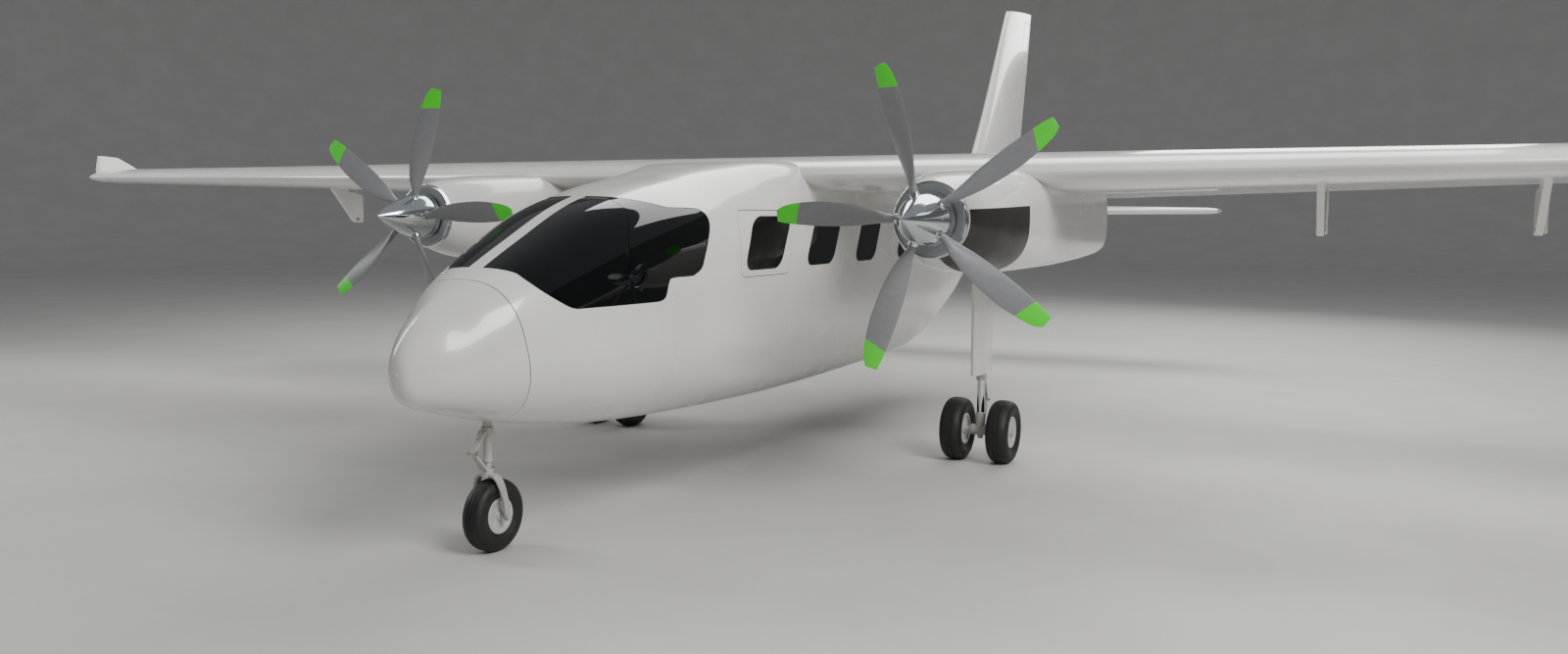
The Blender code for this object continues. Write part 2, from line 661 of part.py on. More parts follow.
def flap_bracket(x):
    """Fixed paddle under the wing that reaches back to the flap's pivot, with its pin."""
    pivot = flap_pivot(x)
    centre, radius = wing_hinge(x, FLAP_HINGE_FRACTION)
    underside = centre.z - radius
    lip = centre.y - 0.045
    rear = pivot.y + BRACKET_HEEL
    outline = ((0, rear - BRACKET_LENGTH, underside + 0.040), (0, pivot.y - 0.055, pivot.z),
               (0, pivot.y - 0.020, pivot.z - 0.028), (0, rear - 0.014, pivot.z - 0.034),
               (0, rear, pivot.z - 0.020), (0, rear, pivot.z + BRACKET_HEIGHT),
               (0, lip, underside - 0.025), (0, lip - 0.015, underside + 0.025))
    half = BRACKET_THICKNESS / 2
    paddle = prism(outline, (x - half, 0, 0), (x + half, 0, 0))
    paddle = cut(paddle, loft([wing_ring(station, FIT) for station in (x - 0.1, x + 0.1)]))
    return join(paddle, flap_pin(x))


def flap_pin(x, shape=rod):
    """The pin, or with shape=bore the hole that it turns in."""
    pivot = flap_pivot(x)
    reach = BRACKET_THICKNESS / 2 + FLAP_ARM_THICKNESS + 2 * FLAP_ARM_SIDE_GAP
    return shape(pivot, pivot + flap_axis() * reach, PIVOT_PIN_RADIUS)


def flap_arm(x):
    """Arm from the flap down to its pivot, beside the paddle."""
    pivot = flap_pivot(x)
    centre, radius = wing_hinge(x, FLAP_HINGE_FRACTION)
    under = centre.z - radius + 0.012
    outline = [Vector((0, pivot.y + 0.055, under)), Vector((0, pivot.y - 0.025, under))]
    for degrees in range(160, 381, 44):
        angle = math.radians(degrees)
        outline.append(pivot + Vector((-pivot.x, math.cos(angle) * FLAP_ARM_EYE_RADIUS,
                                       math.sin(angle) * FLAP_ARM_EYE_RADIUS)))
    inner = x + BRACKET_THICKNESS / 2 + FLAP_ARM_SIDE_GAP
    arm = prism(outline, (inner, 0, 0), (inner + FLAP_ARM_THICKNESS, 0, 0))
    return cut(arm, flap_pin(x, bore))


def hinge_pin(end, inward, shape=rod, spare=0.0):
    """A pin out of a control surface's end along its hinge line, or with shape=bore its hole."""
    inward = inward.normalized()
    return shape(end + inward * 0.030, end - inward * (HINGE_PIN_REACH + spare), HINGE_PIN_RADIUS, 8)


def build_wing():
    place("wing_center", loft([wing_ring(-WING_JOINT_X), wing_ring(WING_JOINT_X)]), "white enamel")
    wing = outer_wing()
    flap = keep(outer_wing(), wing_surface_zone(FLAP_SPAN, FLAP_HINGE_FRACTION, 0.0, END_GAP, flap_axis()))
    aileron = keep(outer_wing(), wing_surface_zone(AILERON_SPAN, AILERON_HINGE_FRACTION, 0.0, END_GAP))
    wing = cut(wing, wing_surface_zone(FLAP_SPAN, FLAP_HINGE_FRACTION, COVE_GAP, 0.0, flap_axis()))
    wing = cut(wing, wing_surface_zone(AILERON_SPAN, AILERON_HINGE_FRACTION, COVE_GAP, 0.0))
    for where, x in zip(("inner", "outer"), FLAP_BRACKETS_X):
        place_pair(f"flap_bracket_{where}", flap_bracket(x), "white enamel")
        flap = join(flap, flap_arm(x))
    inner = wing_hinge(AILERON_SPAN[0] + END_GAP, AILERON_HINGE_FRACTION)[0]
    outer = wing_hinge(AILERON_SPAN[1] - END_GAP, AILERON_HINGE_FRACTION)[0]
    for end, inward in ((inner, outer - inner), (outer, inner - outer)):
        aileron = join(aileron, hinge_pin(end, inward))
        wing = cut(wing, hinge_pin(end, inward, bore, FIT))
    place_pair("wing", wing, "white enamel")
    place_pair("flap", flap, "white enamel", flap_pivot(FLAP_BRACKETS_X[0]))
    place_pair("aileron", aileron, "white enamel", inner)


def build_winglets():
    """Rounded tip of each wing with its small canted blade."""
    leading, trailing = wing_station(WING_TIP_X)
    rings = []
    for out, scale, back in TIP_CAP_ROWS:
        shift = Vector((out, back, 0.0))
        ring = airfoil_ring(leading + shift, trailing + Vector((out, -back, 0.0)),
                            WING_THICKNESS * scale, WING_CAMBER)
        rings.append(ring)
    cap = loft(rings)
    cant = math.radians(WINGLET_CANT)
    lean = Vector((math.sin(cant), 0.0, math.cos(cant)))
    across = Vector((math.cos(cant), 0.0, -math.sin(cant)))
    foot = leading + Vector((0.035, 0.060, 0.0))
    blade_rings = []
    for rise, front, chord in WINGLET_ROWS:
        start = foot + lean * rise + Vector((0.0, front, 0.0))
        blade_rings.append(airfoil_ring(start, start + Vector((0.0, chord, -0.012)), 0.07, 0.0,
                                        points=9, up=across))
    place_pair("winglet", join(cap, loft(blade_rings)), "white enamel")


def nacelle_ring(row, inset=0.0):
    y, low, high, half_width, upper, lower = row
    return rounded_ring(HUB_X, y, low + inset, high - inset, half_width - inset, upper, 20, lower)


def nacelle_body(grow=0.0):
    return loft([nacelle_ring(row, -grow) for row in NACELLE_RINGS])


def build_nacelles():
    outside = [nacelle_ring(row) for row in reversed(NACELLE_RINGS)]
    inside = [nacelle_ring(row, NACELLE_WALL) for row in NACELLE_RINGS if row[0] < FIREWALL_Y]
    inside.append(nacelle_ring((FIREWALL_Y, *NACELLE_RINGS[4][1:]), NACELLE_WALL))
    body = cut(loft(outside + inside), over_wing_zone())
    place_pair("nacelle", body, "white enamel")
    back = NACELLE_FRONT_Y - FIT
    ring = ((0.055, COWL_FRONT_Y), (COWL_RADIUS - 0.012, COWL_FRONT_Y), (COWL_RADIUS, COWL_FRONT_Y + 0.010),
            (COWL_RADIUS, back), (0.055, back))
    place_pair("cowl_ring", turned(ring, (HUB_X, 0, HUB_Z), (0, 1, 0), 24), "brushed cowl",
               (HUB_X, COWL_FRONT_Y, HUB_Z))
    width, length, height = ENGINE_SIZE
    front = FIREWALL_Y - FIT - length
    low = (HUB_X - width / 2, front, ENGINE_Z - height / 2)
    high = (HUB_X + width / 2, FIREWALL_Y - FIT, ENGINE_Z + height / 2)
    shaft_hole = bore((HUB_X, 0.3, HUB_Z), (HUB_X, SHAFT_END_Y + 0.02, HUB_Z), SHAFT_RADIUS, HUB_SIDES)
    block = cut(box(low, high), shaft_hole)
    place_pair("engine", block, "engine casting")


def blade_ring(radius, chord, thickness, sweep, angle):
    """Lens-shaped section of a blade, twisted less toward the tip and swept along its chord."""
    out = Vector((math.cos(angle), 0.0, math.sin(angle)))
    turning = Vector((-math.sin(angle), 0.0, math.cos(angle)))
    pitch = math.atan2(0.24, radius + 0.05)
    along = turning * math.cos(pitch) + Vector((0, 1, 0)) * math.sin(pitch)
    across = Vector((0, 1, 0)) * math.cos(pitch) - turning * math.sin(pitch)
    centre = Vector((HUB_X, 0.0, HUB_Z)) + out * radius + along * sweep
    ring = []
    for step in range(6):
        turn = math.tau * step / 6
        ring.append(centre + along * chord / 2 * math.cos(turn) + across * thickness / 2 * math.sin(turn))
    return ring


def blade(angle):
    root = 2 * BLADE_ROOT_RADIUS
    rows = tuple((radius, root, root, 0.0) for radius in BLADE_CUFF) + BLADE_SECTIONS
    return loft([blade_ring(*row, angle) for row in rows])


def spinner_outline(inset=0.0):
    """Points (radius, y) down the spinner, from its tip to its straight skirt."""
    length = SPINNER_BASE_Y - SPINNER_SKIRT - SPINNER_TIP_Y
    outline = []
    for step in range(SPINNER_STEPS + 1):
        t = step / SPINNER_STEPS
        radius = SPINNER_RADIUS * (1 - (1 - t) ** SPINNER_FULLNESS) - inset
        outline.append((radius, SPINNER_TIP_Y + length * t))
    outline.append((SPINNER_RADIUS - inset, SPINNER_BASE_Y))
    return outline


def build_propellers():
    centre = (HUB_X, 0.0, HUB_Z)
    inner = [point for point in reversed(spinner_outline(SPINNER_WALL)) if point[0] > 2 * SPINNER_WALL]
    profile = spinner_outline() + inner + [(0.0, inner[-1][1] - 0.010)]
    spinner = turned(profile, centre, (0, 1, 0), HUB_SIDES)
    rim = SPINNER_RADIUS - SPINNER_WALL - FIT
    rear = SPINNER_BASE_Y - 0.003
    hub_profile = ((0.0, -0.075), (HUB_RADIUS - 0.015, -0.075), (HUB_RADIUS, -0.055), (HUB_RADIUS, 0.060),
                   (rim - 0.010, rear - 0.008), (rim, rear - 0.008), (rim, rear), (SHAFT_RADIUS, rear),
                   (SHAFT_RADIUS, SHAFT_END_Y), (0.0, SHAFT_END_Y))
    propeller = turned(hub_profile, centre, (0, 1, 0), HUB_SIDES)
    for number in range(BLADE_COUNT):
        angle = math.radians(PORT_BLADE_PHASE) + math.tau * number / BLADE_COUNT
        out = Vector((math.cos(angle), 0.0, math.sin(angle)))
        propeller = join(propeller, blade(angle))
        hole = rod(Vector(centre) + out * (HUB_RADIUS + 0.005), Vector(centre) + out * 0.20,
                   BLADE_ROOT_RADIUS + BLADE_HOLE_GAP)
        spinner = cut(spinner, hole)
    place_pair("spinner", spinner, "polished spinner", centre)
    place_pair("propeller", propeller, "satin blade", centre)


def fin_ring(z, leading_y, trailing_y, thickness, rear_z):
    chord = trailing_y - leading_y
    return airfoil_ring((0, leading_y, z), (0, trailing_y, rear_z), thickness / chord, 0.0, up=(1, 0, 0))


def fin_body():
    rings = []
    for z, leading_y, trailing_y, thickness in FIN_SECTIONS:
        rear_z = FIN_TOP_REAR_Z if z == FIN_SECTIONS[-1][0] else z
        rings.append(fin_ring(z, leading_y, trailing_y, thickness, rear_z))
    return loft(rings)


def rudder_hinge(z):
    """Point of the rudder's hinge line at a height."""
    t = (z - RUDDER_FOOT_Z) / (RUDDER_HEAD_Z - RUDDER_FOOT_Z)
    return Vector((0.0, RUDDER_HINGE_FOOT_Y + (RUDDER_HINGE_HEAD_Y - RUDDER_HINGE_FOOT_Y) * t, z))


def rudder_zone(clearance, end_gap):
    foot_radius, head_radius = RUDDER_NOSE_RADII
    return hinge_zone(rudder_hinge(RUDDER_FOOT_Z + end_gap), rudder_hinge(RUDDER_HEAD_Z - end_gap),
                      foot_radius + clearance, head_radius + clearance, (1, 0, 0), (0, 0, 0))


def build_fin():
    fin = cut(fin_body(), rear_body(-FIT, 5.0, TAIL_END_Y, 8))
    rudder = keep(fin_body(), rudder_zone(0.0, END_GAP))
    fin = cut(fin, rudder_zone(COVE_GAP, 0.0))
    foot = rudder_hinge(RUDDER_FOOT_Z + END_GAP)
    head = rudder_hinge(RUDDER_HEAD_Z - END_GAP)
    for end, inward in ((foot, head - foot), (head, foot - head)):
        rudder = join(rudder, hinge_pin(end, inward))
        fin = cut(fin, hinge_pin(end, inward, bore, FIT))
    place("fin", fin, "white enamel")
    place("rudder", rudder, "white enamel", foot)


def tailplane_ring(x, leading_y, trailing_y, grow=0.0):
    return airfoil_ring((x, leading_y, TAILPLANE_Z), (x, trailing_y, TAILPLANE_Z),
                        TAILPLANE_THICKNESS, 0.0, grow)


def tailplane_loft(grow=0.0):
    rows = [(-x, leading, trailing) for x, leading, trailing in reversed(TAILPLANE_SECTIONS[1:])]
    rows += list(TAILPLANE_SECTIONS)
    return loft([tailplane_ring(*row, grow) for row in rows])


def elevator_radius(x):
    """Half thickness of the tailplane at the elevator's hinge line."""
    inner, outer = TAILPLANE_SECTIONS[:2]
    t = abs(x) / outer[0]
    leading = inner[1] + (outer[1] - inner[1]) * t
    chord = inner[2] + (outer[2] - inner[2]) * t - leading
    s = (ELEVATOR_HINGE_Y - leading) / chord
    return 5 * TAILPLANE_THICKNESS * chord * (0.2969 * math.sqrt(s) - 0.1260 * s - 0.3516 * s ** 2
                                              + 0.2843 * s ** 3 - 0.1036 * s ** 4) + 0.001


def elevator_zone(first_x, second_x, clearance):
    ends = [Vector((x, ELEVATOR_HINGE_Y, TAILPLANE_Z)) for x in (first_x, second_x)]
    return hinge_zone(ends[0], ends[1], elevator_radius(first_x) + clearance,
                      elevator_radius(second_x) + clearance, (0, 0, 1))


def tailplane_body(grow=0.0):
    body = tailplane_loft(grow)
    reach = ELEVATOR_SPAN[1] + END_GAP
    body = cut(body, elevator_zone(-reach, 0.0, COVE_GAP - grow))
    return cut(body, elevator_zone(0.0, reach, COVE_GAP - grow))


def build_tailplane():
    place("tailplane", tailplane_body(), "white enamel")
    half = keep(tailplane_loft(), elevator_zone(*ELEVATOR_SPAN, 0.0))
    elevator = join(mirrored(half), half)
    reach = ELEVATOR_SPAN[0] + 0.03
    tube = rod((-reach, ELEVATOR_HINGE_Y, TAILPLANE_Z), (reach, ELEVATOR_HINGE_Y, TAILPLANE_Z),
               TORQUE_TUBE_RADIUS)
    place("elevator", join(elevator, tube), "white enamel", (0, ELEVATOR_HINGE_Y, TAILPLANE_Z))


def tyre(centre, radius, width, rim_radius):
    """Round tyre about an axle along x, seated on its rim."""
    bead = width * RIM_SEAT_SHARE
    middle = (radius + rim_radius) / 2 + 0.004
    reach = radius - middle
    profile = [(rim_radius + FIT, -bead + 0.001), (rim_radius + 0.008, -bead)]
    for degrees in (-28.0, 10.0, 48.0):
        turn = math.radians(degrees)
        profile.append((middle + reach * math.sin(turn), -width / 2 * math.cos(turn) ** 0.6))
    profile.append((radius, -width * 0.16))
    profile += [(ring_radius, -along) for ring_radius, along in reversed(profile)]
    return turned(profile, centre, (1, 0, 0), WHEEL_SIDES)


def rim(centre, radius, width, hub_radius, axle_radius):
    """Dished wheel rim with a bead seat on each side, bored for its axle along x."""
    bead = width * RIM_SEAT_SHARE + FIT
    half = ((axle_radius + FIT, bead + 0.006), (hub_radius, bead + 0.006), (hub_radius, bead - 0.012),
            (radius - 0.010, bead - 0.018), (radius - 0.005, bead + 0.005), (radius + 0.006, bead + 0.005),
            (radius + 0.006, bead), (radius, bead - 0.001))
    profile = [(ring_radius, -along) for ring_radius, along in half]
    profile += [(ring_radius, along) for ring_radius, along in reversed(half)]
    return turned(profile, centre, (1, 0, 0), WHEEL_SIDES)


def swept(path, half_thickness, half_width):
    """A flat bar along a path in a plane of constant slope, its width along y."""
    rings = []
    for index, point in enumerate(path):
        before = Vector(path[max(index - 1, 0)])
        after = Vector(path[min(index + 1, len(path) - 1)])
        along = (after - before).normalized()
        side = Vector((0, 1, 0))
        thick = along.cross(side).normalized()
        point = Vector(point)
        rings.append([point + thick * half_thickness * a + side * half_width * b
                      for a, b in ((1, 0.7), (0.6, 1), (-0.6, 1), (-1, 0.7), (-1, -0.7), (-0.6, -1),
                                   (0.6, -1), (1, -0.7))])
    return loft(rings)


def link(start, end, half_widths, thickness=0.012):
    """One tapered arm of a pair of torque links, its width along x."""
    start, end = Vector(start), Vector(end)
    along = (end - start).normalized()
    thick = along.cross(Vector((1, 0, 0))).normalized() * thickness / 2
    rings = []
    for point, half in ((start, half_widths[0]), (end, half_widths[1])):
        across = Vector((half, 0, 0))
        rings.append([point - across - thick, point + across - thick, point + across + thick,
                      point - across + thick])
    return loft(rings)


def build_nose_gear():
    y = NOSE_LEG_Y
    bore_top = NOSE_LEG_HEAD_Z - 0.06
    leg = cut(rod((0, y, NOSE_LEG_FOOT_Z), (0, y, NOSE_LEG_HEAD_Z), NOSE_LEG_RADIUS, 14),
              bore((0, y, 0.3), (0, y, bore_top + FIT), NOSE_PISTON_RADIUS))
    place("nose_leg", leg, "gear steel")
    axle = Vector((0, NOSE_AXLE_Y, NOSE_TYRE_RADIUS))
    arm_x = NOSE_TYRE_WIDTH / 2 + 0.024
    half_path = ((arm_x, NOSE_AXLE_Y, NOSE_TYRE_RADIUS - 0.022), (arm_x, NOSE_AXLE_Y - 0.004, 0.260),
                 (arm_x - 0.004, y + 0.012, 0.335), (arm_x - 0.022, y + 0.004, 0.380),
                 (arm_x - 0.050, y, NOSE_CROWN_Z))
    path = list(half_path) + [(-x, py, z) for x, py, z in reversed(half_path)]
    fork = swept(path, 0.010, 0.021)
    fork = join(fork, rod((0, y, NOSE_CROWN_Z - 0.008), (0, y, bore_top), NOSE_PISTON_RADIUS))
    crown_top = NOSE_CROWN_Z + NOSE_CROWN_HEIGHT
    fork = join(fork, rod((0, y, NOSE_CROWN_Z), (0, y, crown_top), NOSE_CROWN_RADIUS))
    across = Vector((0.2, 0, 0))
    fork = cut(fork, bore(axle - across, axle + across, NOSE_AXLE_RADIUS, WHEEL_SIDES))
    place("nose_fork", fork, "gear steel", (0, y, NOSE_LEG_FOOT_Z))
    inner = (NOSE_LEG_RADIUS + FIT) / math.cos(math.pi / 14)
    ring = ((inner, 0.0), (NOSE_COLLAR_RADIUS, 0.0), (NOSE_COLLAR_RADIUS, NOSE_COLLAR_HEIGHT),
            (inner, NOSE_COLLAR_HEIGHT))
    knee = (0, y + NOSE_LINK_KNEE[0], NOSE_LINK_KNEE[1])
    links = turned(ring, (0, y, NOSE_COLLAR_Z), (0, 0, 1), 14)
    links = join(links, link((0, y - 0.034, NOSE_COLLAR_Z + NOSE_COLLAR_HEIGHT / 2), knee, (0.026, 0.014)))
    links = join(links, rod((-0.026, knee[1], knee[2]), (0.026, knee[1], knee[2]), 0.011))
    links = join(links, link(knee, (0, y - 0.034, crown_top - 0.005), (0.014, 0.024)))
    links = cut(links, bore((0, y, NOSE_CROWN_Z - 0.1), (0, y, crown_top + FIT), NOSE_CROWN_RADIUS))
    place("nose_links", links, "gear steel", (0, y, NOSE_LEG_FOOT_Z))
    reach = Vector((arm_x + 0.016, 0, 0))
    wheel = rim(axle, NOSE_RIM_RADIUS, NOSE_TYRE_WIDTH, NOSE_HUB_RADIUS, NOSE_AXLE_RADIUS)
    place("nose_wheel", wheel, "wheel alloy", axle)
    place("nose_axle", rod(axle - reach, axle + reach, NOSE_AXLE_RADIUS, WHEEL_SIDES), "gear steel", axle)
    place("nose_tyre", tyre(axle, NOSE_TYRE_RADIUS, NOSE_TYRE_WIDTH, NOSE_RIM_RADIUS), "tyre rubber", axle)


def build_main_gear():
    foot = Vector((MAIN_X, MAIN_Y, MAIN_LEG_FOOT_Z))
    rings = []
    for z, chord in ((MAIN_LEG_FOOT_Z, MAIN_LEG_CHORD), (1.50, MAIN_LEG_CHORD * 1.1)):
        front = Vector((MAIN_X, MAIN_Y - chord * 0.45, z))
        rings.append(airfoil_ring(front, front + Vector((0, chord, 0)), MAIN_LEG_THICKNESS / chord, 0.0,
                                  points=10, up=(1, 0, 0)))
    leg = cut(loft(rings), nacelle_body(FIT))
    socket_top = MAIN_LEG_FOOT_Z + 0.10
    leg = cut(leg, bore(foot - Vector((0, 0, 0.1)), (MAIN_X, MAIN_Y, socket_top + FIT), MAIN_PISTON_RADIUS))
    place_pair("main_leg", leg, "white enamel")
    axle = Vector((MAIN_X, MAIN_Y, MAIN_TYRE_RADIUS))
    strut = rod(axle, (MAIN_X, MAIN_Y, socket_top), MAIN_PISTON_RADIUS)
    barrel = Vector((MAIN_BARREL_HALF, 0, 0))
    strut = join(strut, rod(axle - barrel, axle + barrel, MAIN_BARREL_RADIUS))
    strut = join(strut, rod(axle - Vector((0, 0, JACK_PAD_DROP)), axle, JACK_PAD_RADIUS))
    collar = MAIN_LEG_FOOT_Z - MAIN_COLLAR_HEIGHT
    collar_top = MAIN_LEG_FOOT_Z - FIT
    strut = join(strut, rod((MAIN_X, MAIN_Y, collar), (MAIN_X, MAIN_Y, collar_top), MAIN_COLLAR_RADIUS))
    knee = (MAIN_X, MAIN_Y + MAIN_LINK_KNEE[0], MAIN_LINK_KNEE[1])
    strut = join(strut, link((MAIN_X, MAIN_Y + 0.02, collar + 0.025), knee, (0.024, 0.014)))
    strut = join(strut, rod((MAIN_X - 0.022, knee[1], knee[2]), (MAIN_X + 0.022, knee[1], knee[2]), 0.010))
    strut = join(strut, link(knee, (MAIN_X, MAIN_Y + 0.02, MAIN_TYRE_RADIUS + 0.030), (0.014, 0.024)))
    axle_hole = bore(axle - Vector((0.2, 0, 0)), axle + Vector((0.2, 0, 0)), MAIN_AXLE_RADIUS, WHEEL_SIDES)
    strut = cut(strut, axle_hole)
    place_pair("main_strut", strut, "gear steel")
    reach = Vector((MAIN_TYRE_OFFSET + MAIN_TYRE_WIDTH * RIM_SEAT_SHARE + 0.018, 0, 0))
    axle_bar = rod(axle - reach, axle + reach, MAIN_AXLE_RADIUS, WHEEL_SIDES)
    place_pair("main_axle", axle_bar, "gear steel", axle)
    for where, offset in (("inner", -MAIN_TYRE_OFFSET), ("outer", MAIN_TYRE_OFFSET)):
        centre = axle + Vector((offset, 0, 0))
        wheel = rim(centre, MAIN_RIM_RADIUS, MAIN_TYRE_WIDTH, MAIN_HUB_RADIUS, MAIN_AXLE_RADIUS)
        place_pair(f"wheel_{where}", wheel, "wheel alloy", axle)
        covering = tyre(centre, MAIN_TYRE_RADIUS, MAIN_TYRE_WIDTH, MAIN_RIM_RADIUS)
        place_pair(f"tyre_{where}", covering, "tyre rubber", axle)


def build():
    clear_scene()
    make_materials()
    datum = bpy.data.objects.new("datum", None)
    bpy.context.scene.collection.objects.link(datum)
    datum.location = (0.0, PROPELLER_PLANE_Y, 0.0)
    build_forward_fuselage()
    build_glass()
    build_rear_fuselage()
    build_wing()
    build_winglets()
    build_nacelles()
    build_propellers()
    build_fin()
    build_tailplane()
    build_nose_gear()
    build_main_gear()


build()
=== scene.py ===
"""Looks of the twin-engined commuter airliner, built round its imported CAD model.

Sizes are in metres. The airframe is set out in stations, as in its CAD source: y counts aft from
the plane of the propellers, z up from the floor and x to port. Each finished piece is then moved
to its place in the shared frame.
"""

import json
import math
from functools import lru_cache

import bmesh
import bpy
from mathutils import Matrix, Vector

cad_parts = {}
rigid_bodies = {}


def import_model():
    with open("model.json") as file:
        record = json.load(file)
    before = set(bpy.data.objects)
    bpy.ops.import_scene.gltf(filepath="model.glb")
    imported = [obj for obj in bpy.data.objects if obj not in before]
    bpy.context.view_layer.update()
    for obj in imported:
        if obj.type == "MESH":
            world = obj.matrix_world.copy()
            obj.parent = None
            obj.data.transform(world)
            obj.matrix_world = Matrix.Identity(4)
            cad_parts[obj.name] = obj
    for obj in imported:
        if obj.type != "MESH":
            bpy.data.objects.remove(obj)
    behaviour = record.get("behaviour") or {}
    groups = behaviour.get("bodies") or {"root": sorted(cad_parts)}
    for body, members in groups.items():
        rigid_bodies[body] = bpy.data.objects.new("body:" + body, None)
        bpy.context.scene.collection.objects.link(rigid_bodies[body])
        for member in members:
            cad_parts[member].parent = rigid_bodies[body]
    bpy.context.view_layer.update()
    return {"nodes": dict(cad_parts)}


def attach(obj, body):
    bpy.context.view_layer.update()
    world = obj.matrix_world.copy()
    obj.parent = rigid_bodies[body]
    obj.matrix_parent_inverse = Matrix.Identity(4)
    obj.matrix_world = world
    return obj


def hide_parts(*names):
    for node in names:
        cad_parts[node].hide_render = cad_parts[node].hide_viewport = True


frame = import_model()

PROPELLER_PLANE = Vector((0.0, -3.4225, 0.0))  # where station 0 lies in the shared frame
SIDES = (("port", 1.0), ("starboard", -1.0))
SHARP_ANGLE = 32.0  # edges sharper than this, in degrees, stay sharp in the shading
SOFTENED_ANGLE = 30.0  # edges sharper than this are rounded where a shape is softened

# Fuselage outline, keyed by the distance aft of the nose tip
NOSE_TIP_Y = -1.985
TAIL_END_Y = 8.56
ROOF = ((0.0, 0.998), (0.06, 1.150), (0.20, 1.275), (0.45, 1.405), (0.80, 1.575), (1.30, 1.788),
        (1.93, 1.930), (3.07, 2.070), (3.96, 2.050), (5.24, 1.930), (7.96, 1.920), (10.55, 1.880))
BELLY = ((0.0, 0.958), (0.06, 0.836), (0.20, 0.784), (0.45, 0.711), (0.80, 0.636), (1.30, 0.569),
         (1.93, 0.534), (3.46, 0.500), (5.24, 0.525), (6.36, 0.740), (7.49, 1.110), (8.96, 1.430),
         (10.55, 1.680))
HALF_WIDTH = ((0.0, 0.020), (0.06, 0.108), (0.20, 0.214), (0.45, 0.336), (0.80, 0.440), (1.30, 0.546),
              (1.93, 0.606), (2.96, 0.630), (5.24, 0.630), (6.56, 0.520), (7.96, 0.330), (9.36, 0.180),
              (10.55, 0.070))
WAIST = ((0.0, 0.46), (0.20, 0.45), (0.60, 0.47), (1.30, 0.43), (3.07, 0.45), (5.24, 0.50),
         (10.55, 0.50))
UPPER_SQUARENESS = ((0.0, 1.9), (0.20, 1.75), (0.50, 2.75), (0.90, 3.0), (2.00, 3.1), (2.50, 4.2),
                    (3.00, 8.0), (4.60, 8.0), (5.24, 3.1), (7.96, 2.4), (10.55, 2.0))
LOWER_SQUARENESS = ((0.0, 2.1), (0.60, 2.3), (1.60, 2.7), (3.07, 3.1), (5.24, 3.1), (7.96, 2.4),
                    (10.55, 2.0))
FUSELAGE_COLUMNS = 112
RADOME_SEAM = ((-1.544, 1.400), (-1.415, 0.690))  # (y, z) on the roof and on the belly
SEAM_HALF = 0.0022
RADOME_SEAL_HALF = 0.006
SEAL_DEPTH = 0.0025
TAIL_CAP_SHARES = (0.8, 0.4, 0.0)

# A cutter through one side of the hull reaches from inside the cabin to clear of its skin
CUTTER_IN = 0.2
TRIM_CUTTER_IN = 0.3
CUTTER_OUT = 0.9
TRIM_GAP = 0.0003  # between a window's trim and the floor of its recess
FLOOR_GAP = 0.0002  # the same under the cockpit glass, the hatch's seal and the door's handle

# Cockpit glazing, (y, z) seen from the side
GLAZING_FRONT = ((-0.760, 1.860), (-1.540, 1.520), (-1.428, 1.452), (-1.406, 1.432), (-1.398, 1.400),
                 (-1.365, 1.354), (-1.309, 1.308), (-1.232, 1.262), (-1.185, 1.250))
GLAZING_REAR = ((-0.625, 1.254), (-0.585, 1.262), (-0.560, 1.284), (-0.532, 1.350), (-0.493, 1.376),
                (-0.330, 1.379), (-0.287, 1.389), (-0.227, 1.420), (-0.187, 1.479), (-0.126, 1.572),
                (-0.070, 1.663), (-0.068, 1.715), (-0.100, 1.742), (-0.151, 1.752), (-0.350, 1.756))
PANE_SPLIT = ((-0.820, 1.20), (-0.824, 1.252), (-0.830, 1.406), (-0.765, 1.582), (-0.640, 1.735),
              (-0.600, 1.80))
CENTRE_POST_HALF = 0.045
GLAZING_DEPTH = 0.008
GLAZING_BED = 0.004
GLAZING_RECESS_GROW = 0.0026
GLAZING_SEAL_GROW = 0.0022
GLASS_SHRINK = 0.0006
PANE_GAP_HALF = 0.0015

# Cabin windows: y of the lower front corner and width
CABIN_WINDOWS = ((0.225, 0.450), (1.040, 0.430), (1.850, 0.370), (2.675, 0.370))
WINDOW_LOW_Z = 1.385
WINDOW_HIGH_Z = 1.708
WINDOW_LEAN = 0.155
WINDOW_CORNER = 0.080
WINDOW_RECESS_GROW = 0.0020
RIM_GROW = 0.0016
RIM_SHRINK = 0.0050
PANE_SHRINK = 0.0054
RIM_DEPTH = 0.0008
PANE_DEPTH = 0.0020
HATCH = (0.178, 1.345, 0.620, 0.400)  # y, z, width and height of the seam round the first window
HATCH_LEAN = 0.045
HATCH_CORNER = 0.05
HATCH_GROOVE_HALF = 0.0022
HATCH_GROOVE_DEPTH = 0.005
HATCH_SEAL_HALF = 0.0018

# Cabin door, starboard
DOOR_FRONT_Y = 3.36
DOOR_WIDTH = 0.66
DOOR_LOW_Z = 0.76
DOOR_HIGH_Z = 1.66
DOOR_CORNER = 0.10
DOOR_THICKNESS = 0.030
DOOR_GAP = 0.006
DOOR_HINGE = (-0.642, 3.352)
DOOR_HINGES_Z = (1.00, 1.44)
DOOR_INSIDE_X = 0.25
DOOR_RECESS_SPARE = 0.012
DOOR_WINDOW = (0.16, 1.30, 0.32, 0.28, 0.06, 0.02)  # y from the door's front, z, size, corner, lean
DOOR_HANDLE = (0.11, 1.16)  # y ahead of the door's rear edge, z
HANDLE_CUP_DEPTH = 0.012

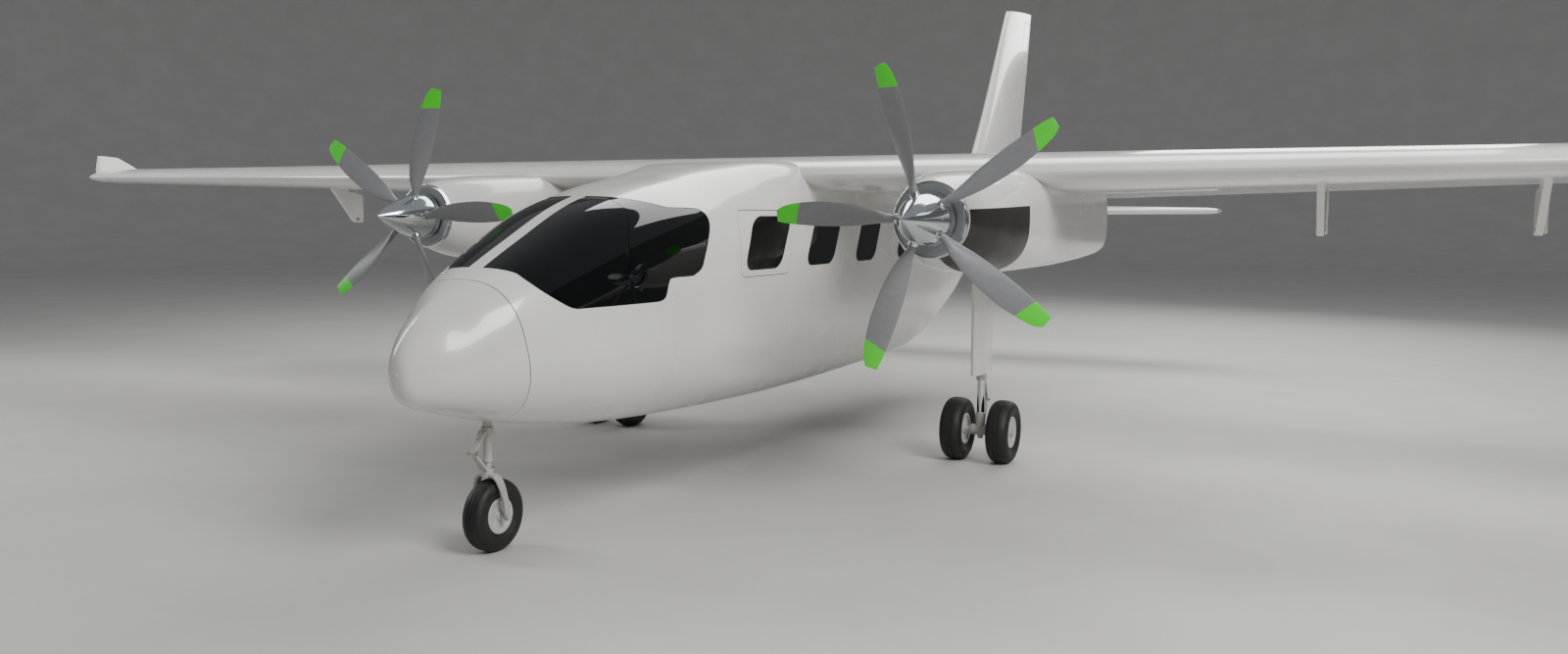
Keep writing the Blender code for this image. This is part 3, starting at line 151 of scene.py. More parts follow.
# Wing: distance out, then leading and trailing edge (y, z)
WING_SECTIONS = ((0.0, 1.050, 1.980, 3.170, 1.853), (2.25, 1.050, 1.980, 3.170, 1.853),
                 (5.10, 1.270, 2.020, 2.770, 1.940), (7.36, 1.450, 2.045, 2.590, 2.010))
WING_JOINT_X = 2.25
WING_BREAK_X = 5.10
WING_ROW_STEP = 0.15
WING_TIP_X = 7.36
WING_THICKNESS = 0.12
WING_CAMBER = 0.03
HINGE_FRACTION = 0.72
FLAP_SPAN = (2.33, 5.06)
AILERON_SPAN = (5.16, 7.16)
COVE_GAP = 0.008
END_GAP = 0.010
FLAP_BRACKETS_X = (3.65, 4.85)
FLAP_PIVOT_Z = (1.628, 1.648)
FLAP_PIVOT_BACK = 0.105  # pivot line behind the nose of the flap
BRACKET_LENGTH = 0.405
BRACKET_HEEL = 0.075  # rear edge behind the pivot
BRACKET_HEIGHT = 0.232  # rear edge above the pivot
BRACKET_THICKNESS = 0.046
FLAP_ARM_GAP = 0.0055
FLAP_PIN_RADIUS = 0.0098
FLAP_PIN_HOLE_RADIUS = 0.0104
WINGLET_CANT = 22.0
WINGLET_HEIGHT = 0.23
WINGLET_THICKNESS = 0.07
WINGLET_FRONTS = ((0.0, 0.0), (0.10, 0.030), (0.23, 0.085))  # height up the blade, way aft
WINGLET_CHORDS = ((0.0, 0.63), (0.10, 0.46), (0.23, 0.21))
# Rounded wing tip: way out, share of the thickness, way in from both edges
WING_TIP_ROWS = ((0.0003, 1.0, 0.0), (0.020, 0.95, 0.001), (0.045, 0.86, 0.004), (0.064, 0.74, 0.010),
                 (0.080, 0.58, 0.020), (0.090, 0.41, 0.036), (0.096, 0.22, 0.060))

# Power plants
HUB_X = 1.805
HUB_Z = 1.697
BLADE_PHASE = 107.0
BLADE_COUNT = 5
# Distance from the axis, then a blade's chord, its thickness and its sweep
BLADE_CHORD = ((0.080, 0.044), (0.150, 0.044), (0.250, 0.091), (0.430, 0.139), (0.580, 0.147),
               (0.710, 0.130), (0.820, 0.098), (0.861, 0.066))
BLADE_THICKNESS = ((0.080, 0.044), (0.150, 0.044), (0.250, 0.034), (0.430, 0.022), (0.580, 0.016),
                   (0.710, 0.011), (0.820, 0.008), (0.861, 0.006))
BLADE_SWEEP = ((0.080, 0.0), (0.150, 0.0), (0.250, -0.012), (0.430, -0.018), (0.580, -0.019),
               (0.710, -0.016), (0.820, -0.009), (0.861, 0.0))
BLADE_ROOT_RADIUS = 0.080
BLADE_SHOULDER_RADIUS = 0.15
BLADE_TIP_RADIUS = 0.861
BLADE_PITCH_REACH = 0.24  # advance of the blade's twist for each radian of turn
GREEN_TIP_RADIUS = 0.735
GREEN_TIP_SLANT = 0.29
SPINNER_TIP_Y = -0.298
SPINNER_BASE_Y = 0.118
SPINNER_RADIUS = 0.150
SPINNER_WALL = 0.004
SPINNER_HOLE_RADIUS = 0.0285
COLLAR_RADII = (0.0235, 0.0290)
COLLAR_REACH = (0.118, 0.147)  # from the axis, where a collar starts and ends
COWL_FRONT_Y = 0.128
COWL_BACK_Y = 0.1655
COWL_RADIUS = 0.212
# y, lower and upper z, half width, squareness of the upper and of the lower half
NACELLE_RINGS = ((0.165, 1.485, 1.909, 0.212, 2.0, 2.0), (0.30, 1.440, 1.945, 0.270, 2.2, 2.1),
                 (0.50, 1.402, 1.972, 0.322, 2.7, 2.3), (0.80, 1.378, 1.992, 0.362, 3.3, 2.5),
                 (1.20, 1.370, 2.005, 0.388, 3.8, 2.7), (1.80, 1.372, 2.005, 0.398, 3.8, 3.1),
                 (2.45, 1.392, 1.990, 0.402, 3.8, 3.8), (2.90, 1.420, 1.980, 0.400, 3.8, 4.6))
NACELLE_FRONT_Y = 0.165
NACELLE_REAR_Y = 2.90
COWL_PANEL_FRONT_Y = 0.172
COWL_PANEL_REAR_Y = 0.835
COWL_PANEL_LOW_Z = 1.20
COWL_PANEL_DEPTH = 0.004
COWL_PANEL_X = 0.045  # inner edge of the panel, outboard of the propeller's axis

# Tail
FIN_LEADING = ((1.800, 5.60), (1.930, 5.72), (2.000, 5.98), (2.130, 6.300), (2.376, 6.583),
               (4.080, 7.780))
FIN_TRAILING = ((1.800, 8.295), (1.930, 8.320), (2.376, 8.412), (4.080, 8.830))
FIN_THICKNESS = ((1.800, 0.190), (2.376, 0.184), (4.080, 0.105))
FIN_TOP_RISE = 0.110
FIN_TOP_START_Z = 3.6
FIN_ROW_HEIGHTS = (1.80, 2.40, 4.08)
FIN_ROW_COUNT = 14
RUDDER_FOOT_Z = 1.960
RUDDER_HEAD_Z = 4.060
RUDDER_HINGE_Y = (7.740, 8.440)
RUDDER_NOSE_RADII = (0.0585, 0.0385)
TAILPLANE_Z = 1.770
TAILPLANE_SECTIONS = ((0.0, 7.400, 8.500), (2.30, 7.710, 8.370), (2.40, 7.850, 8.300))
TAILPLANE_THICKNESS = 0.11
TAILPLANE_TIP_ROWS = (2.33, 2.36, 2.385, 2.40)
ELEVATOR_HINGE_Y = 8.080
ELEVATOR_SPAN = (0.175, 2.26)
ELEVATOR_TUBE_RADIUS = 0.0138

# Landing gear
NOSE_LEG_Y = -1.375
NOSE_AXLE = Vector((0.0, -1.340, 0.187))
NOSE_TYRE = (0.187, 0.125, 0.088)  # radius, width, rim radius
MAIN_AXLE = Vector((1.552, 1.970, 0.219))
MAIN_TYRE = (0.219, 0.158, 0.103)
MAIN_TYRE_OFFSET = 0.165
MAIN_LEG_FOOT_Z = 0.620
MAIN_LEG_CHORD = 0.440
MAIN_LEG_THICKNESS = 0.074
MAIN_LEG_HEAD_Z = 1.50
MAIN_PISTON_RADIUS = 0.0275
MAIN_AXLE_RADIUS = 0.0218
MAIN_HUB = (0.034, 0.022)  # radii of a rim's hub and of the axle's hole in it
NOSE_LEG_FOOT_Z = 0.470
NOSE_LEG_HEAD_Z = 0.80
NOSE_LEG_RADIUS = 0.023
NOSE_PISTON_RADIUS = 0.0188
NOSE_AXLE_RADIUS = 0.0118
NOSE_HUB = (0.024, 0.012)
FORK_CROWN_Z = 0.400
FORK_TYRE_GAP = 0.024
LINK_THICKNESS = 0.012
WHEEL_STEPS = 72
BEAD_SHARE = 0.36  # half the width between a tyre's beads, as a share of the tyre's width

CAMERA_PLACE = (3.971, -9.3885, 1.733)
CAMERA_YAW, CAMERA_PITCH, CAMERA_ROLL = 26.553, -5.559, 0.270
FOCAL_LENGTH_PIXELS = 1202.629
PHOTO_WIDTH_PIXELS = 1600.0
SENSOR_WIDTH = 36.0
FLOOR_RADIUS = 30.0
WALL_BEND_RADIUS = 14.0


# Reading curves and outlines

@lru_cache(maxsize=None)
def read_curve(table, key):
    """Read a smooth curve through a table's points, by cubic pieces that never overshoot."""
    keys = [row[0] for row in table]
    values = [row[1] for row in table]
    if key <= keys[0]:
        return values[0]
    if key >= keys[-1]:
        return values[-1]
    steps = [(b - a) / (d - c) for a, b, c, d in zip(values, values[1:], keys, keys[1:])]
    slopes = [steps[0]]
    for before, after in zip(steps, steps[1:]):
        slopes.append(0.0 if before * after <= 0.0 else 2.0 * before * after / (before + after))
    slopes.append(steps[-1])
    index = max(i for i, start in enumerate(keys[:-1]) if start <= key)
    width = keys[index + 1] - keys[index]
    t = (key - keys[index]) / width
    return (values[index] * (1 + 2 * t) * (1 - t) ** 2 + values[index + 1] * t * t * (3 - 2 * t)
            + width * (slopes[index] * t * (1 - t) ** 2 + slopes[index + 1] * t * t * (t - 1)))


@lru_cache(maxsize=None)
def read_outline(table, y):
    """Read a fuselage outline by the root of the distance aft, in which a round nose is straight."""
    roots = tuple((math.sqrt(key), value) for key, value in table)
    return read_curve(roots, math.sqrt(max(y - NOSE_TIP_Y, 0.0)))


def rounded_point(turn, low, high, half_width, power, lower_power, waist):
    """A point (x, z) of a superellipse; the waist is the height of its widest place."""
    middle = low + (high - low) * waist
    angle = math.tau * turn
    exponent = 2 / (power if math.sin(angle) > 0.0 else lower_power)
    across = math.copysign(abs(math.cos(angle)) ** exponent, math.cos(angle))
    reach = high - middle if math.sin(angle) > 0.0 else low - middle
    return half_width * across, middle + reach * abs(math.sin(angle)) ** exponent


def smooth_line(points, steps=5):
    """A rounder line through the points, by Catmull-Rom."""
    line = []
    points = [Vector(point) for point in points]
    padded = [points[0] * 2 - points[1]] + points + [points[-1] * 2 - points[-2]]
    for a, b, c, d in zip(padded, padded[1:], padded[2:], padded[3:]):
        for step in range(steps):
            t = step / steps
            line.append((b * 2 + (c - a) * t + (a * 2 - b * 5 + c * 4 - d) * t * t
                         + (b * 3 - a - c * 3 + d) * t ** 3) / 2)
    return line + [points[-1]]


# Modelling helpers

def loft(columns, rows, point):
    """A closed skin from a flat grid: point(turn, row) places its corners, turn running round it."""
    shape = bmesh.new()
    bmesh.ops.create_grid(shape, x_segments=columns, y_segments=len(rows) - 1, size=0.5)
    for corner in shape.verts:
        turn = round((corner.co.x + 0.5) * columns) / columns
        corner.co = point(turn, rows[round((corner.co.y + 0.5) * (len(rows) - 1))])
    bmesh.ops.remove_doubles(shape, verts=shape.verts, dist=0.00003)
    bmesh.ops.holes_fill(shape, edges=[edge for edge in shape.edges if edge.is_boundary], sides=0)
    bmesh.ops.recalc_face_normals(shape, faces=shape.faces)
    return shape


def prism(outline, offset, bevel=0.0, segments=2):
    """Extrude a flat outline of points by an offset, with its edges rounded if bevel is given."""
    shape = bmesh.new()
    face = shape.faces.new([shape.verts.new(point) for point in outline])
    top = bmesh.ops.extrude_face_region(shape, geom=[face])["geom"]
    moved = [item for item in top if isinstance(item, bmesh.types.BMVert)]
    bmesh.ops.translate(shape, verts=moved, vec=offset)
    bmesh.ops.recalc_face_normals(shape, faces=shape.faces)
    if bevel:
        soften(shape, bevel, segments)
    return shape


def soften(shape, width, segments=2):
    """Round every sharp edge."""
    least = math.radians(SOFTENED_ANGLE)
    edges = [edge for edge in shape.edges if edge.calc_face_angle(0.0) > least]
    bmesh.ops.bevel(shape, geom=edges, offset=width, segments=segments, profile=0.5, affect="EDGES",
                    material=-1, clamp_overlap=True)
    return shape


def side_prism(outline, x_inner, x_outer):
    """A prism through one side of the airframe, from an outline of (y, z) points."""
    return prism([Vector((x_inner, y, z)) for y, z in outline], Vector((x_outer - x_inner, 0, 0)))


def turned(profile, centre, axis, steps):
    """Spin a profile of (radius, distance along the axis) about an axis through centre."""
    axis = Vector(axis).normalized()
    upright = Vector((0, 0, 1)) if abs(axis.z) < 0.7 else Vector((0, 1, 0))
    across = (upright - axis * axis.dot(upright)).normalized()
    shape = bmesh.new()
    points = [shape.verts.new(Vector(centre) + axis * along + across * radius)
              for radius, along in profile]
    edges = [shape.edges.new(pair) for pair in zip(points, points[1:])]
    if min(profile[0][0], profile[-1][0]) > 0.0:
        edges.append(shape.edges.new((points[-1], points[0])))
    bmesh.ops.spin(shape, geom=points + edges, cent=centre, axis=axis, angle=math.tau, steps=steps,
                   use_merge=True)
    bmesh.ops.remove_doubles(shape, verts=shape.verts, dist=0.00001)
    bmesh.ops.recalc_face_normals(shape, faces=shape.faces)
    return shape


def rod(start, end, radius, steps=40, edge=0.0015):
    """A round bar with small rounded edges at both ends."""
    start, span = Vector(start), Vector(end) - Vector(start)
    edge = min(edge, radius * 0.4, span.length * 0.3)
    profile = ((0.0, 0.0), (radius - edge, 0.0), (radius - edge * 0.3, edge * 0.3), (radius, edge),
               (radius, span.length - edge), (radius - edge * 0.3, span.length - edge * 0.3),
               (radius - edge, span.length), (0.0, span.length))
    return turned(profile, start, span, steps)


def ring(centre, axis, inner, outer, start, end, steps=48, edge=0.0012):
    """A flat or long collar round an axis, between two distances along it."""
    profile = ((inner, start), (outer - edge, start), (outer, start + edge), (outer, end - edge),
               (outer - edge, end), (inner, end))
    return turned(profile, centre, axis, steps)


def hex_bolt(place, axis, radius, height):
    """A six-sided head on its washer, standing on a surface."""
    axis = Vector(axis).normalized()
    turn = Vector((0, 0, 1)).rotation_difference(axis).to_matrix().to_4x4()
    shape = bmesh.new()
    washer = height * 0.25
    for sides, wide, low, high in ((14, radius * 1.35, 0.0, washer), (6, radius, washer, height)):
        base = Matrix.Translation(Vector((0, 0, (low + high) / 2)))
        bmesh.ops.create_cone(shape, cap_ends=True, segments=sides, radius1=wide, radius2=wide * 0.97,
                              depth=high - low, matrix=Matrix.Translation(place) @ turn @ base)
    return shape


def gather(shapes):
    """Put several shapes side by side into one."""
    whole = bmesh.new()
    for shape in shapes:
        mesh = bpy.data.meshes.new("work")
        shape.to_mesh(mesh)
        shape.free()
        whole.from_mesh(mesh)
        bpy.data.meshes.remove(mesh)
    return whole


def mirrored(shape):
    """A starboard copy of a port shape."""
    twin = shape.copy()
    bmesh.ops.scale(twin, verts=twin.verts, vec=(-1.0, 1.0, 1.0))
    bmesh.ops.reverse_faces(twin, faces=twin.faces)
    return twin


def both(shape):
    """A port shape with its starboard twin."""
    return gather((mirrored(shape), shape))


def carve(shape, tool, operation="DIFFERENCE"):
    """Cut, keep or join one shape with another."""
    holders = []
    for item in (shape, tool):
        mesh = bpy.data.meshes.new("work")
        item.to_mesh(mesh)
        item.free()
        holder = bpy.data.objects.new("work", mesh)
        bpy.context.scene.collection.objects.link(holder)
        holders.append(holder)
    boolean = holders[0].modifiers.new("carve", "BOOLEAN")
    boolean.operation = operation
    boolean.solver = "EXACT"
    boolean.object = holders[1]
    graph = bpy.context.evaluated_depsgraph_get()
    mesh = bpy.data.meshes.new_from_object(holders[0].evaluated_get(graph))
    result = bmesh.new()
    result.from_mesh(mesh)
    bmesh.ops.remove_doubles(result, verts=result.verts, dist=0.00002)
    bmesh.ops.dissolve_degenerate(result, dist=0.00002, edges=result.edges)
    bpy.data.meshes.remove(mesh)
    for holder in holders:
        bpy.data.objects.remove(holder, do_unlink=True)
    return result


def patch(tool, outer, inner):
    """The part of a tool that lies between two skins."""
    return carve(carve(tool, inner), outer, "INTERSECT")


def halved(shape, point, normal):
    """Keep what lies behind a plane, and close the cut."""
    geometry = list(shape.verts) + list(shape.edges) + list(shape.faces)
    bmesh.ops.bisect_plane(shape, geom=geometry, plane_co=point, plane_no=normal, clear_outer=True)
    bmesh.ops.holes_fill(shape, edges=[edge for edge in shape.edges if edge.is_boundary], sides=0)
    bmesh.ops.recalc_face_normals(shape, faces=shape.faces)
    return shape


def finish(name, shape, surface, body, replaces=(), smooth=SHARP_ANGLE):
    """Make a shape a piece of the scene that rides on a body and stands for CAD nodes."""
    bmesh.ops.translate(shape, verts=shape.verts, vec=PROPELLER_PLANE)
    mesh = bpy.data.meshes.new(name)
    shape.to_mesh(mesh)
    shape.free()
    mesh.shade_smooth()
    mesh.set_sharp_from_angle(angle=math.radians(smooth))
    mesh.materials.append(SURFACES[surface])
    piece = bpy.data.objects.new(name, mesh)
    bpy.context.scene.collection.objects.link(piece)
    weighted = piece.modifiers.new("weighted normals", "WEIGHTED_NORMAL")
    weighted.keep_sharp = True
    weighted.weight = 80
    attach(piece, body)
    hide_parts(*replaces)
    return piece


def finish_pair(name, shape, surface, body, replaces=(), smooth=SHARP_ANGLE):
    """Finish a port shape and its starboard twin; a star in a name stands for the side."""
    twins = {"port": shape, "starboard": mirrored(shape)}
    for side, twin in twins.items():
        cad_nodes = [cad_node.replace("*", side) for cad_node in replaces]
        finish(f"{name}_{side}", twin, surface, body.replace("*", side), cad_nodes, smooth)


# Materials

SURFACES = {}


def linear(code):
    """An sRGB hex colour as linear red, green, blue and alpha."""
    channels = [int(code[i:i + 2], 16) / 255 for i in (1, 3, 5)]
    return tuple(c / 12.92 if c <= 0.04045 else ((c + 0.055) / 1.055) ** 2.4
                 for c in channels) + (1.0,)


def node(tree, kind, output, settings=None, **sockets):
    """Add a node with its settings, fill its sockets and return one of its outputs."""
    item = tree.nodes.new(kind)
    for name, value in (settings or {}).items():
        setattr(item, name, value)
    fill(tree, item, **sockets)
    return item.outputs[output]


def fill(tree, item, **sockets):
    """Give sockets a link, a hex colour or a number; i0 stands for the first socket."""
    for name, value in sockets.items():
        key = int(name[1:]) if name[0] == "i" and name[1:].isdigit() else name.replace("_", " ")
        socket = item.inputs[key]
        if isinstance(value, bpy.types.NodeSocket):
            tree.links.new(value, socket)
        else:
            socket.default_value = linear(value) if isinstance(value, str) else value


def start_surface(name, **constants):
    """Start a named material and return its node tree, shader and object coordinates."""
    material = bpy.data.materials.new(name)
    material.use_nodes = True
    tree = material.node_tree
    shader = tree.nodes["Principled BSDF"]
    fill(tree, shader, **constants)
    SURFACES[name] = material
    return tree, shader, node(tree, "ShaderNodeTexCoord", "Object")


# A noise whose blotches are so many millimetres across has a scale of 1000 over that size
NOISE, RANGE, MIX = "ShaderNodeTexNoise", "ShaderNodeMapRange", "ShaderNodeMix"
MATH, BUMP, SPLIT = "ShaderNodeMath", "ShaderNodeBump", "ShaderNodeSeparateXYZ"
COLOURS = {"data_type": "RGBA"}
LINES = {"noise_dimensions": "1D"}


def make_enamel(name, light, shade, coat):
    """Two-pack polyurethane enamel, sprayed and polished: a wet gloss over a faint orange peel."""
    tree, shader, place = start_surface(name, IOR=1.5, Coat_Weight=coat, Coat_Roughness=0.03)
    clouds = node(tree, NOISE, "Fac", Vector=place, Scale=1000 / 700, Detail=3.0)
    tone = node(tree, RANGE, "Result", Value=clouds, From_Min=0.35, From_Max=0.65)
    colour = node(tree, MIX, "Result", COLOURS, Factor=tone, A=light, B=shade)
    # Towards the floor the enamel is mixed, in blotches, with a darker grey-brown
    height = node(tree, SPLIT, "Z", Vector=place)
    low_down = node(tree, RANGE, "Result", Value=height, From_Min=0.45, From_Max=1.05, To_Min=0.30,
                    To_Max=0.0)
    low_blotches = node(tree, NOISE, "Fac", Vector=place, Scale=1000 / 90, Detail=5.0, Roughness=0.65)
    low_darkening = node(tree, MATH, "Value", {"operation": "MULTIPLY"}, i0=low_down, i1=low_blotches)
    polish = node(tree, NOISE, "Fac", Vector=place, Scale=1000 / 220, Detail=4.0)
    gloss = node(tree, RANGE, "Result", Value=polish, From_Min=0.3, From_Max=0.7, To_Min=0.20,
                 To_Max=0.29)
    # The peel, drawn coarser than its 3 mm so that it shows
    peel = node(tree, NOISE, "Fac", Vector=place, Scale=1000 / 14, Detail=1.0)
    fill(tree, shader, Roughness=gloss,
         Base_Color=node(tree, MIX, "Result", COLOURS, Factor=low_darkening, A=colour, B="#8F8A80"),
         Normal=node(tree, BUMP, "Normal", Height=peel, Strength=0.05, Distance=0.00025))


def make_acrylic():
    """Stretched acrylic, polished, with a little dust; near-black as painted shade of the unlit
    interior.
    """
    tree, shader, place = start_surface("acrylic over painted interior shade", IOR=1.49)
    grains = node(tree, NOISE, "Fac", Vector=place, Scale=1000 / 160, Detail=6.0, Roughness=0.7)
    dust = node(tree, RANGE, "Result", Value=grains, From_Min=0.45, From_Max=0.75, To_Max=0.25)
    fill(tree, shader,
         Base_Color=node(tree, MIX, "Result", COLOURS, Factor=dust, A="#040506", B="#0B0C0E"),
         Roughness=node(tree, RANGE, "Result", Value=dust, From_Max=0.25, To_Min=0.02, To_Max=0.07))


def make_spun_aluminium():
    """Spun and polished aluminium: a bright mirror drawn out by fine rings from the lathe."""
    tree, shader, place = start_surface("polished spun aluminium", Metallic=1.0)
    along = node(tree, SPLIT, "Y", Vector=place)
    rings = node(tree, NOISE, "Fac", LINES, W=along, Scale=900.0, Detail=2.0)
    finish_rings(tree, shader, rings, ("#C9D0D3", "#DDE2E4"), (0.06, 0.12), 0.06)


def make_brushed_plate():
    """Aluminium sheet brushed on a turntable: rings round the propeller's axis."""
    tree, shader, place = start_surface("brushed plate", Metallic=1.0)
    parts = {axis: node(tree, SPLIT, axis, Vector=place) for axis in "XZ"}
    side = node(tree, MATH, "Value", {"operation": "ABSOLUTE"}, i0=parts["X"])
    x = node(tree, MATH, "Value", {"operation": "SUBTRACT"}, i0=side, i1=HUB_X)
    z = node(tree, MATH, "Value", {"operation": "SUBTRACT"}, i0=parts["Z"], i1=HUB_Z)
    flat = node(tree, "ShaderNodeCombineXYZ", "Vector", X=x, Z=z)
    radius = node(tree, "ShaderNodeVectorMath", "Value", {"operation": "LENGTH"}, i0=flat)
    rings = node(tree, NOISE, "Fac", LINES, W=radius, Scale=1400.0, Detail=3.0)
    finish_rings(tree, shader, rings, ("#A2A4A6", "#BEC0C2"), (0.38, 0.50), 0.10)


def finish_rings(tree, shader, rings, tones, rough, strength):
    """Colour, gloss and relief of bare metal that all follow the same fine rings."""
    fill(tree, shader,
         Base_Color=node(tree, MIX, "Result", COLOURS, Factor=rings, A=tones[0], B=tones[1]),
         Roughness=node(tree, RANGE, "Result", Value=rings, From_Min=0.3, From_Max=0.7,
                        To_Min=rough[0], To_Max=rough[1]),
         Normal=node(tree, BUMP, "Normal", Height=rings, Strength=strength, Distance=0.00005))


def make_blade_paint():
    """Erosion-resistant polyurethane on composite: satin grey with a bright green warning tip."""
    tree, shader, place = start_surface("satin blade paint", IOR=1.5)
    reach = node(tree, "ShaderNodeAttribute", "Fac", {"attribute_name": "paint_reach"})
    tip = node(tree, MATH, "Value", {"operation": "GREATER_THAN"}, i0=reach, i1=GREEN_TIP_RADIUS)
    patches = node(tree, NOISE, "Fac", Vector=place, Scale=1000 / 30, Detail=5.0, Roughness=0.7)
    wear = node(tree, RANGE, "Result", Value=patches, From_Min=0.4, From_Max=0.8, To_Max=0.6)
    grey = node(tree, MIX, "Result", COLOURS, Factor=wear, A="#7F7F81", B="#8B8B8D")
    green = node(tree, MIX, "Result", COLOURS, Factor=wear, A="#44E026", B="#5BE840")
    grain = node(tree, NOISE, "Fac", Vector=place, Scale=1000 / 4, Detail=2.0)
    fill(tree, shader, Base_Color=node(tree, MIX, "Result", COLOURS, Factor=tip, A=grey, B=green),
         Roughness=node(tree, RANGE, "Result", Value=wear, From_Max=0.6, To_Min=0.34, To_Max=0.44),
         Normal=node(tree, BUMP, "Normal", Height=grain, Strength=0.08, Distance=0.00008))


def make_plain(name, light, dark, rough, size_mm, metallic, relief, depth_mm, **constants):
    """A finish with mottled colour and gloss and a slight grain, at the scale of its blotches."""
    tree, shader, place = start_surface(name, Metallic=metallic, **constants)
    blotch = node(tree, NOISE, "Fac", Vector=place, Scale=1000 / size_mm, Detail=5.0, Roughness=0.6)
    tone = node(tree, RANGE, "Result", Value=blotch, From_Min=0.35, From_Max=0.65)
    grain = node(tree, NOISE, "Fac", Vector=place, Scale=1000 / max(size_mm / 20, 1.0), Detail=2.0)
    fill(tree, shader, Base_Color=node(tree, MIX, "Result", COLOURS, Factor=tone, A=light, B=dark),
         Roughness=node(tree, RANGE, "Result", Value=blotch, From_Min=0.3, From_Max=0.7,
                        To_Min=rough[0], To_Max=rough[1]),
         Normal=node(tree, BUMP, "Normal", Height=grain, Strength=relief, Distance=depth_mm / 1000))


def make_tyre_rubber():
    """Carbon-black rubber, moulded: matt, with grey dust in its fine texture."""
    tree, shader, place = start_surface("tyre rubber", IOR=1.52)
    grains = node(tree, NOISE, "Fac", Vector=place, Scale=1000 / 45, Detail=6.0, Roughness=0.7)
    dust = node(tree, RANGE, "Result", Value=grains, From_Min=0.45, From_Max=0.75, To_Max=0.7)
    texture = node(tree, NOISE, "Fac", Vector=place, Scale=1000 / 3, Detail=3.0)
    fill(tree, shader,
         Base_Color=node(tree, MIX, "Result", COLOURS, Factor=dust, A="#131313", B="#2A2927"),
         Roughness=node(tree, RANGE, "Result", Value=dust, From_Max=0.7, To_Min=0.55, To_Max=0.80),
         Normal=node(tree, BUMP, "Normal", Height=texture, Strength=0.25, Distance=0.0002))


def make_surfaces():
    """Every finish of the airframe."""
    make_enamel("gloss white enamel", "#E4E3DF", "#DBDAD5", 0.6)
    make_enamel("radome enamel", "#DFDEDA", "#D8D7D2", 0.5)
    make_acrylic()
    make_spun_aluminium()
    make_blade_paint()
    make_brushed_plate()
    # Graphite-grey heat-resistant paint: satin, a little streaked
    make_plain("graphite cowl paint", "#393734", "#2B2A28", (0.28, 0.38), 260.0, 0.35, 0.05, 0.1,
               IOR=1.5)
    # Light grey epoxy enamel on steel forgings: semi-gloss, with grime in patches
    make_plain("grey gear enamel", "#B4B3AE", "#A3A29C", (0.30, 0.45), 60.0, 0.0, 0.12, 0.15,
               IOR=1.5)
    # Hard chrome on the sliding tubes: a bright mirror
    make_plain("hard chrome", "#D8DADB", "#C8CACB", (0.05, 0.10), 40.0, 1.0, 0.03, 0.02)
    # Light grey epoxy paint on cast alloy rims: semi-gloss, dusted with brake grime
    make_plain("grey wheel enamel", "#BFBFBD", "#ADADAA", (0.32, 0.46), 35.0, 0.0, 0.15, 0.12,
               IOR=1.5)
    # Cadmium-plated steel: small warm glints
    make_plain("plated fastener", "#B9B6A9", "#9F9C90", (0.22, 0.35), 6.0, 1.0, 0.10, 0.05)
    # Extruded rubber seal: dead black
    make_plain("black seal", "#0C0C0C", "#161616", (0.50, 0.65), 25.0, 0.0, 0.15, 0.10)
    # Sand-cast aluminium crankcase: dull and pebbled
    make_plain("engine casting", "#6D6E6F", "#565758", (0.45, 0.60), 25.0, 0.7, 0.35, 0.40)
    make_tyre_rubber()


# Fuselage

def fuselage_skin(rows, inset=0.0):
    """The fuselage between rows of (y, share of its section), moved inward by the inset."""
    def point(turn, row):
        y, share = row
        low, high = read_outline(BELLY, y) + inset, read_outline(ROOF, y) - inset
        half_width = max(read_outline(HALF_WIDTH, y) - inset, 0.002)
        x, z = rounded_point(turn, low, high, half_width, read_outline(UPPER_SQUARENESS, y),
                             read_outline(LOWER_SQUARENESS, y), read_outline(WAIST, y))
        middle = (low + high) / 2
        tip = y - 0.004 * (1 - share) if y < 0 else y + 0.02 * (1 - share)
        return Vector((x * share, tip, middle + (z - middle) * share))
    return loft(FUSELAGE_COLUMNS, rows, point)


def fuselage_rows(first, last):
    """Rows of full sections, close together where the nose is round."""
    rows = []
    root = 0.0
    while NOSE_TIP_Y + root * root < TAIL_END_Y:
        rows.append((NOSE_TIP_Y + root * root, 1.0))
        root += 0.025
    rows = [row for row in rows if first <= row[0] <= last]
    return rows + ([(TAIL_END_Y, 1.0)] if last >= TAIL_END_Y else [])


def rounded_box_outline(front, low, width, height, radius, lean=0.0, grow=0.0):
    """A rectangle with round corners as (y, z) points, its top moved aft by the lean."""
    steps = 7
    corners = ((front + radius, low + radius, 180.0), (front + width - radius, low + radius, 270.0),
               (front + width - radius, low + height - radius, 0.0),
               (front + radius, low + height - radius, 90.0))
    outline = []
    for y, z, start in corners:
        for step in range(steps + 1):
            angle = math.radians(start + 90.0 * step / steps)
            up = z + (radius + grow) * math.sin(angle)
            outline.append((y + (radius + grow) * math.cos(angle) + lean * (up - low) / height, up))
    return outline


def grown(outline, grow):
    """Move each side of an outline of (y, z) points outward by the same distance."""
    count = len(outline)
    outline = [Vector(point) for point in outline]
    area = sum(outline[i - 1].x * outline[i].y - outline[i].x * outline[i - 1].y
               for i in range(count))
    normals = []
    for i in range(count):
        along = outline[i] - outline[i - 1]
        normals.append(Vector((along.y, -along.x)).normalized() * math.copysign(1.0, area))
    return [outline[i] + (normals[i] + normals[(i + 1) % count]) * grow
            / (1 + normals[i].dot(normals[(i + 1) % count])) for i in range(count)]


def glazing_outline():
    """Both panes of a side in one outline."""
    front = [Vector(point) for point in GLAZING_FRONT[:2]] + smooth_line(GLAZING_FRONT[2:], 4)
    return front + smooth_line(GLAZING_REAR, 4)


def glazing_prism(grow):
    """A cutter through both panes of the port side, larger all round by an amount."""
    return side_prism(grown(glazing_outline(), grow), CENTRE_POST_HALF - grow, CUTTER_OUT)


def front_skin(inset):
    """The fuselage ahead of the wing, moved inward."""
    return fuselage_skin([(NOSE_TIP_Y, 0.0)] + fuselage_rows(NOSE_TIP_Y, 0.45), inset)


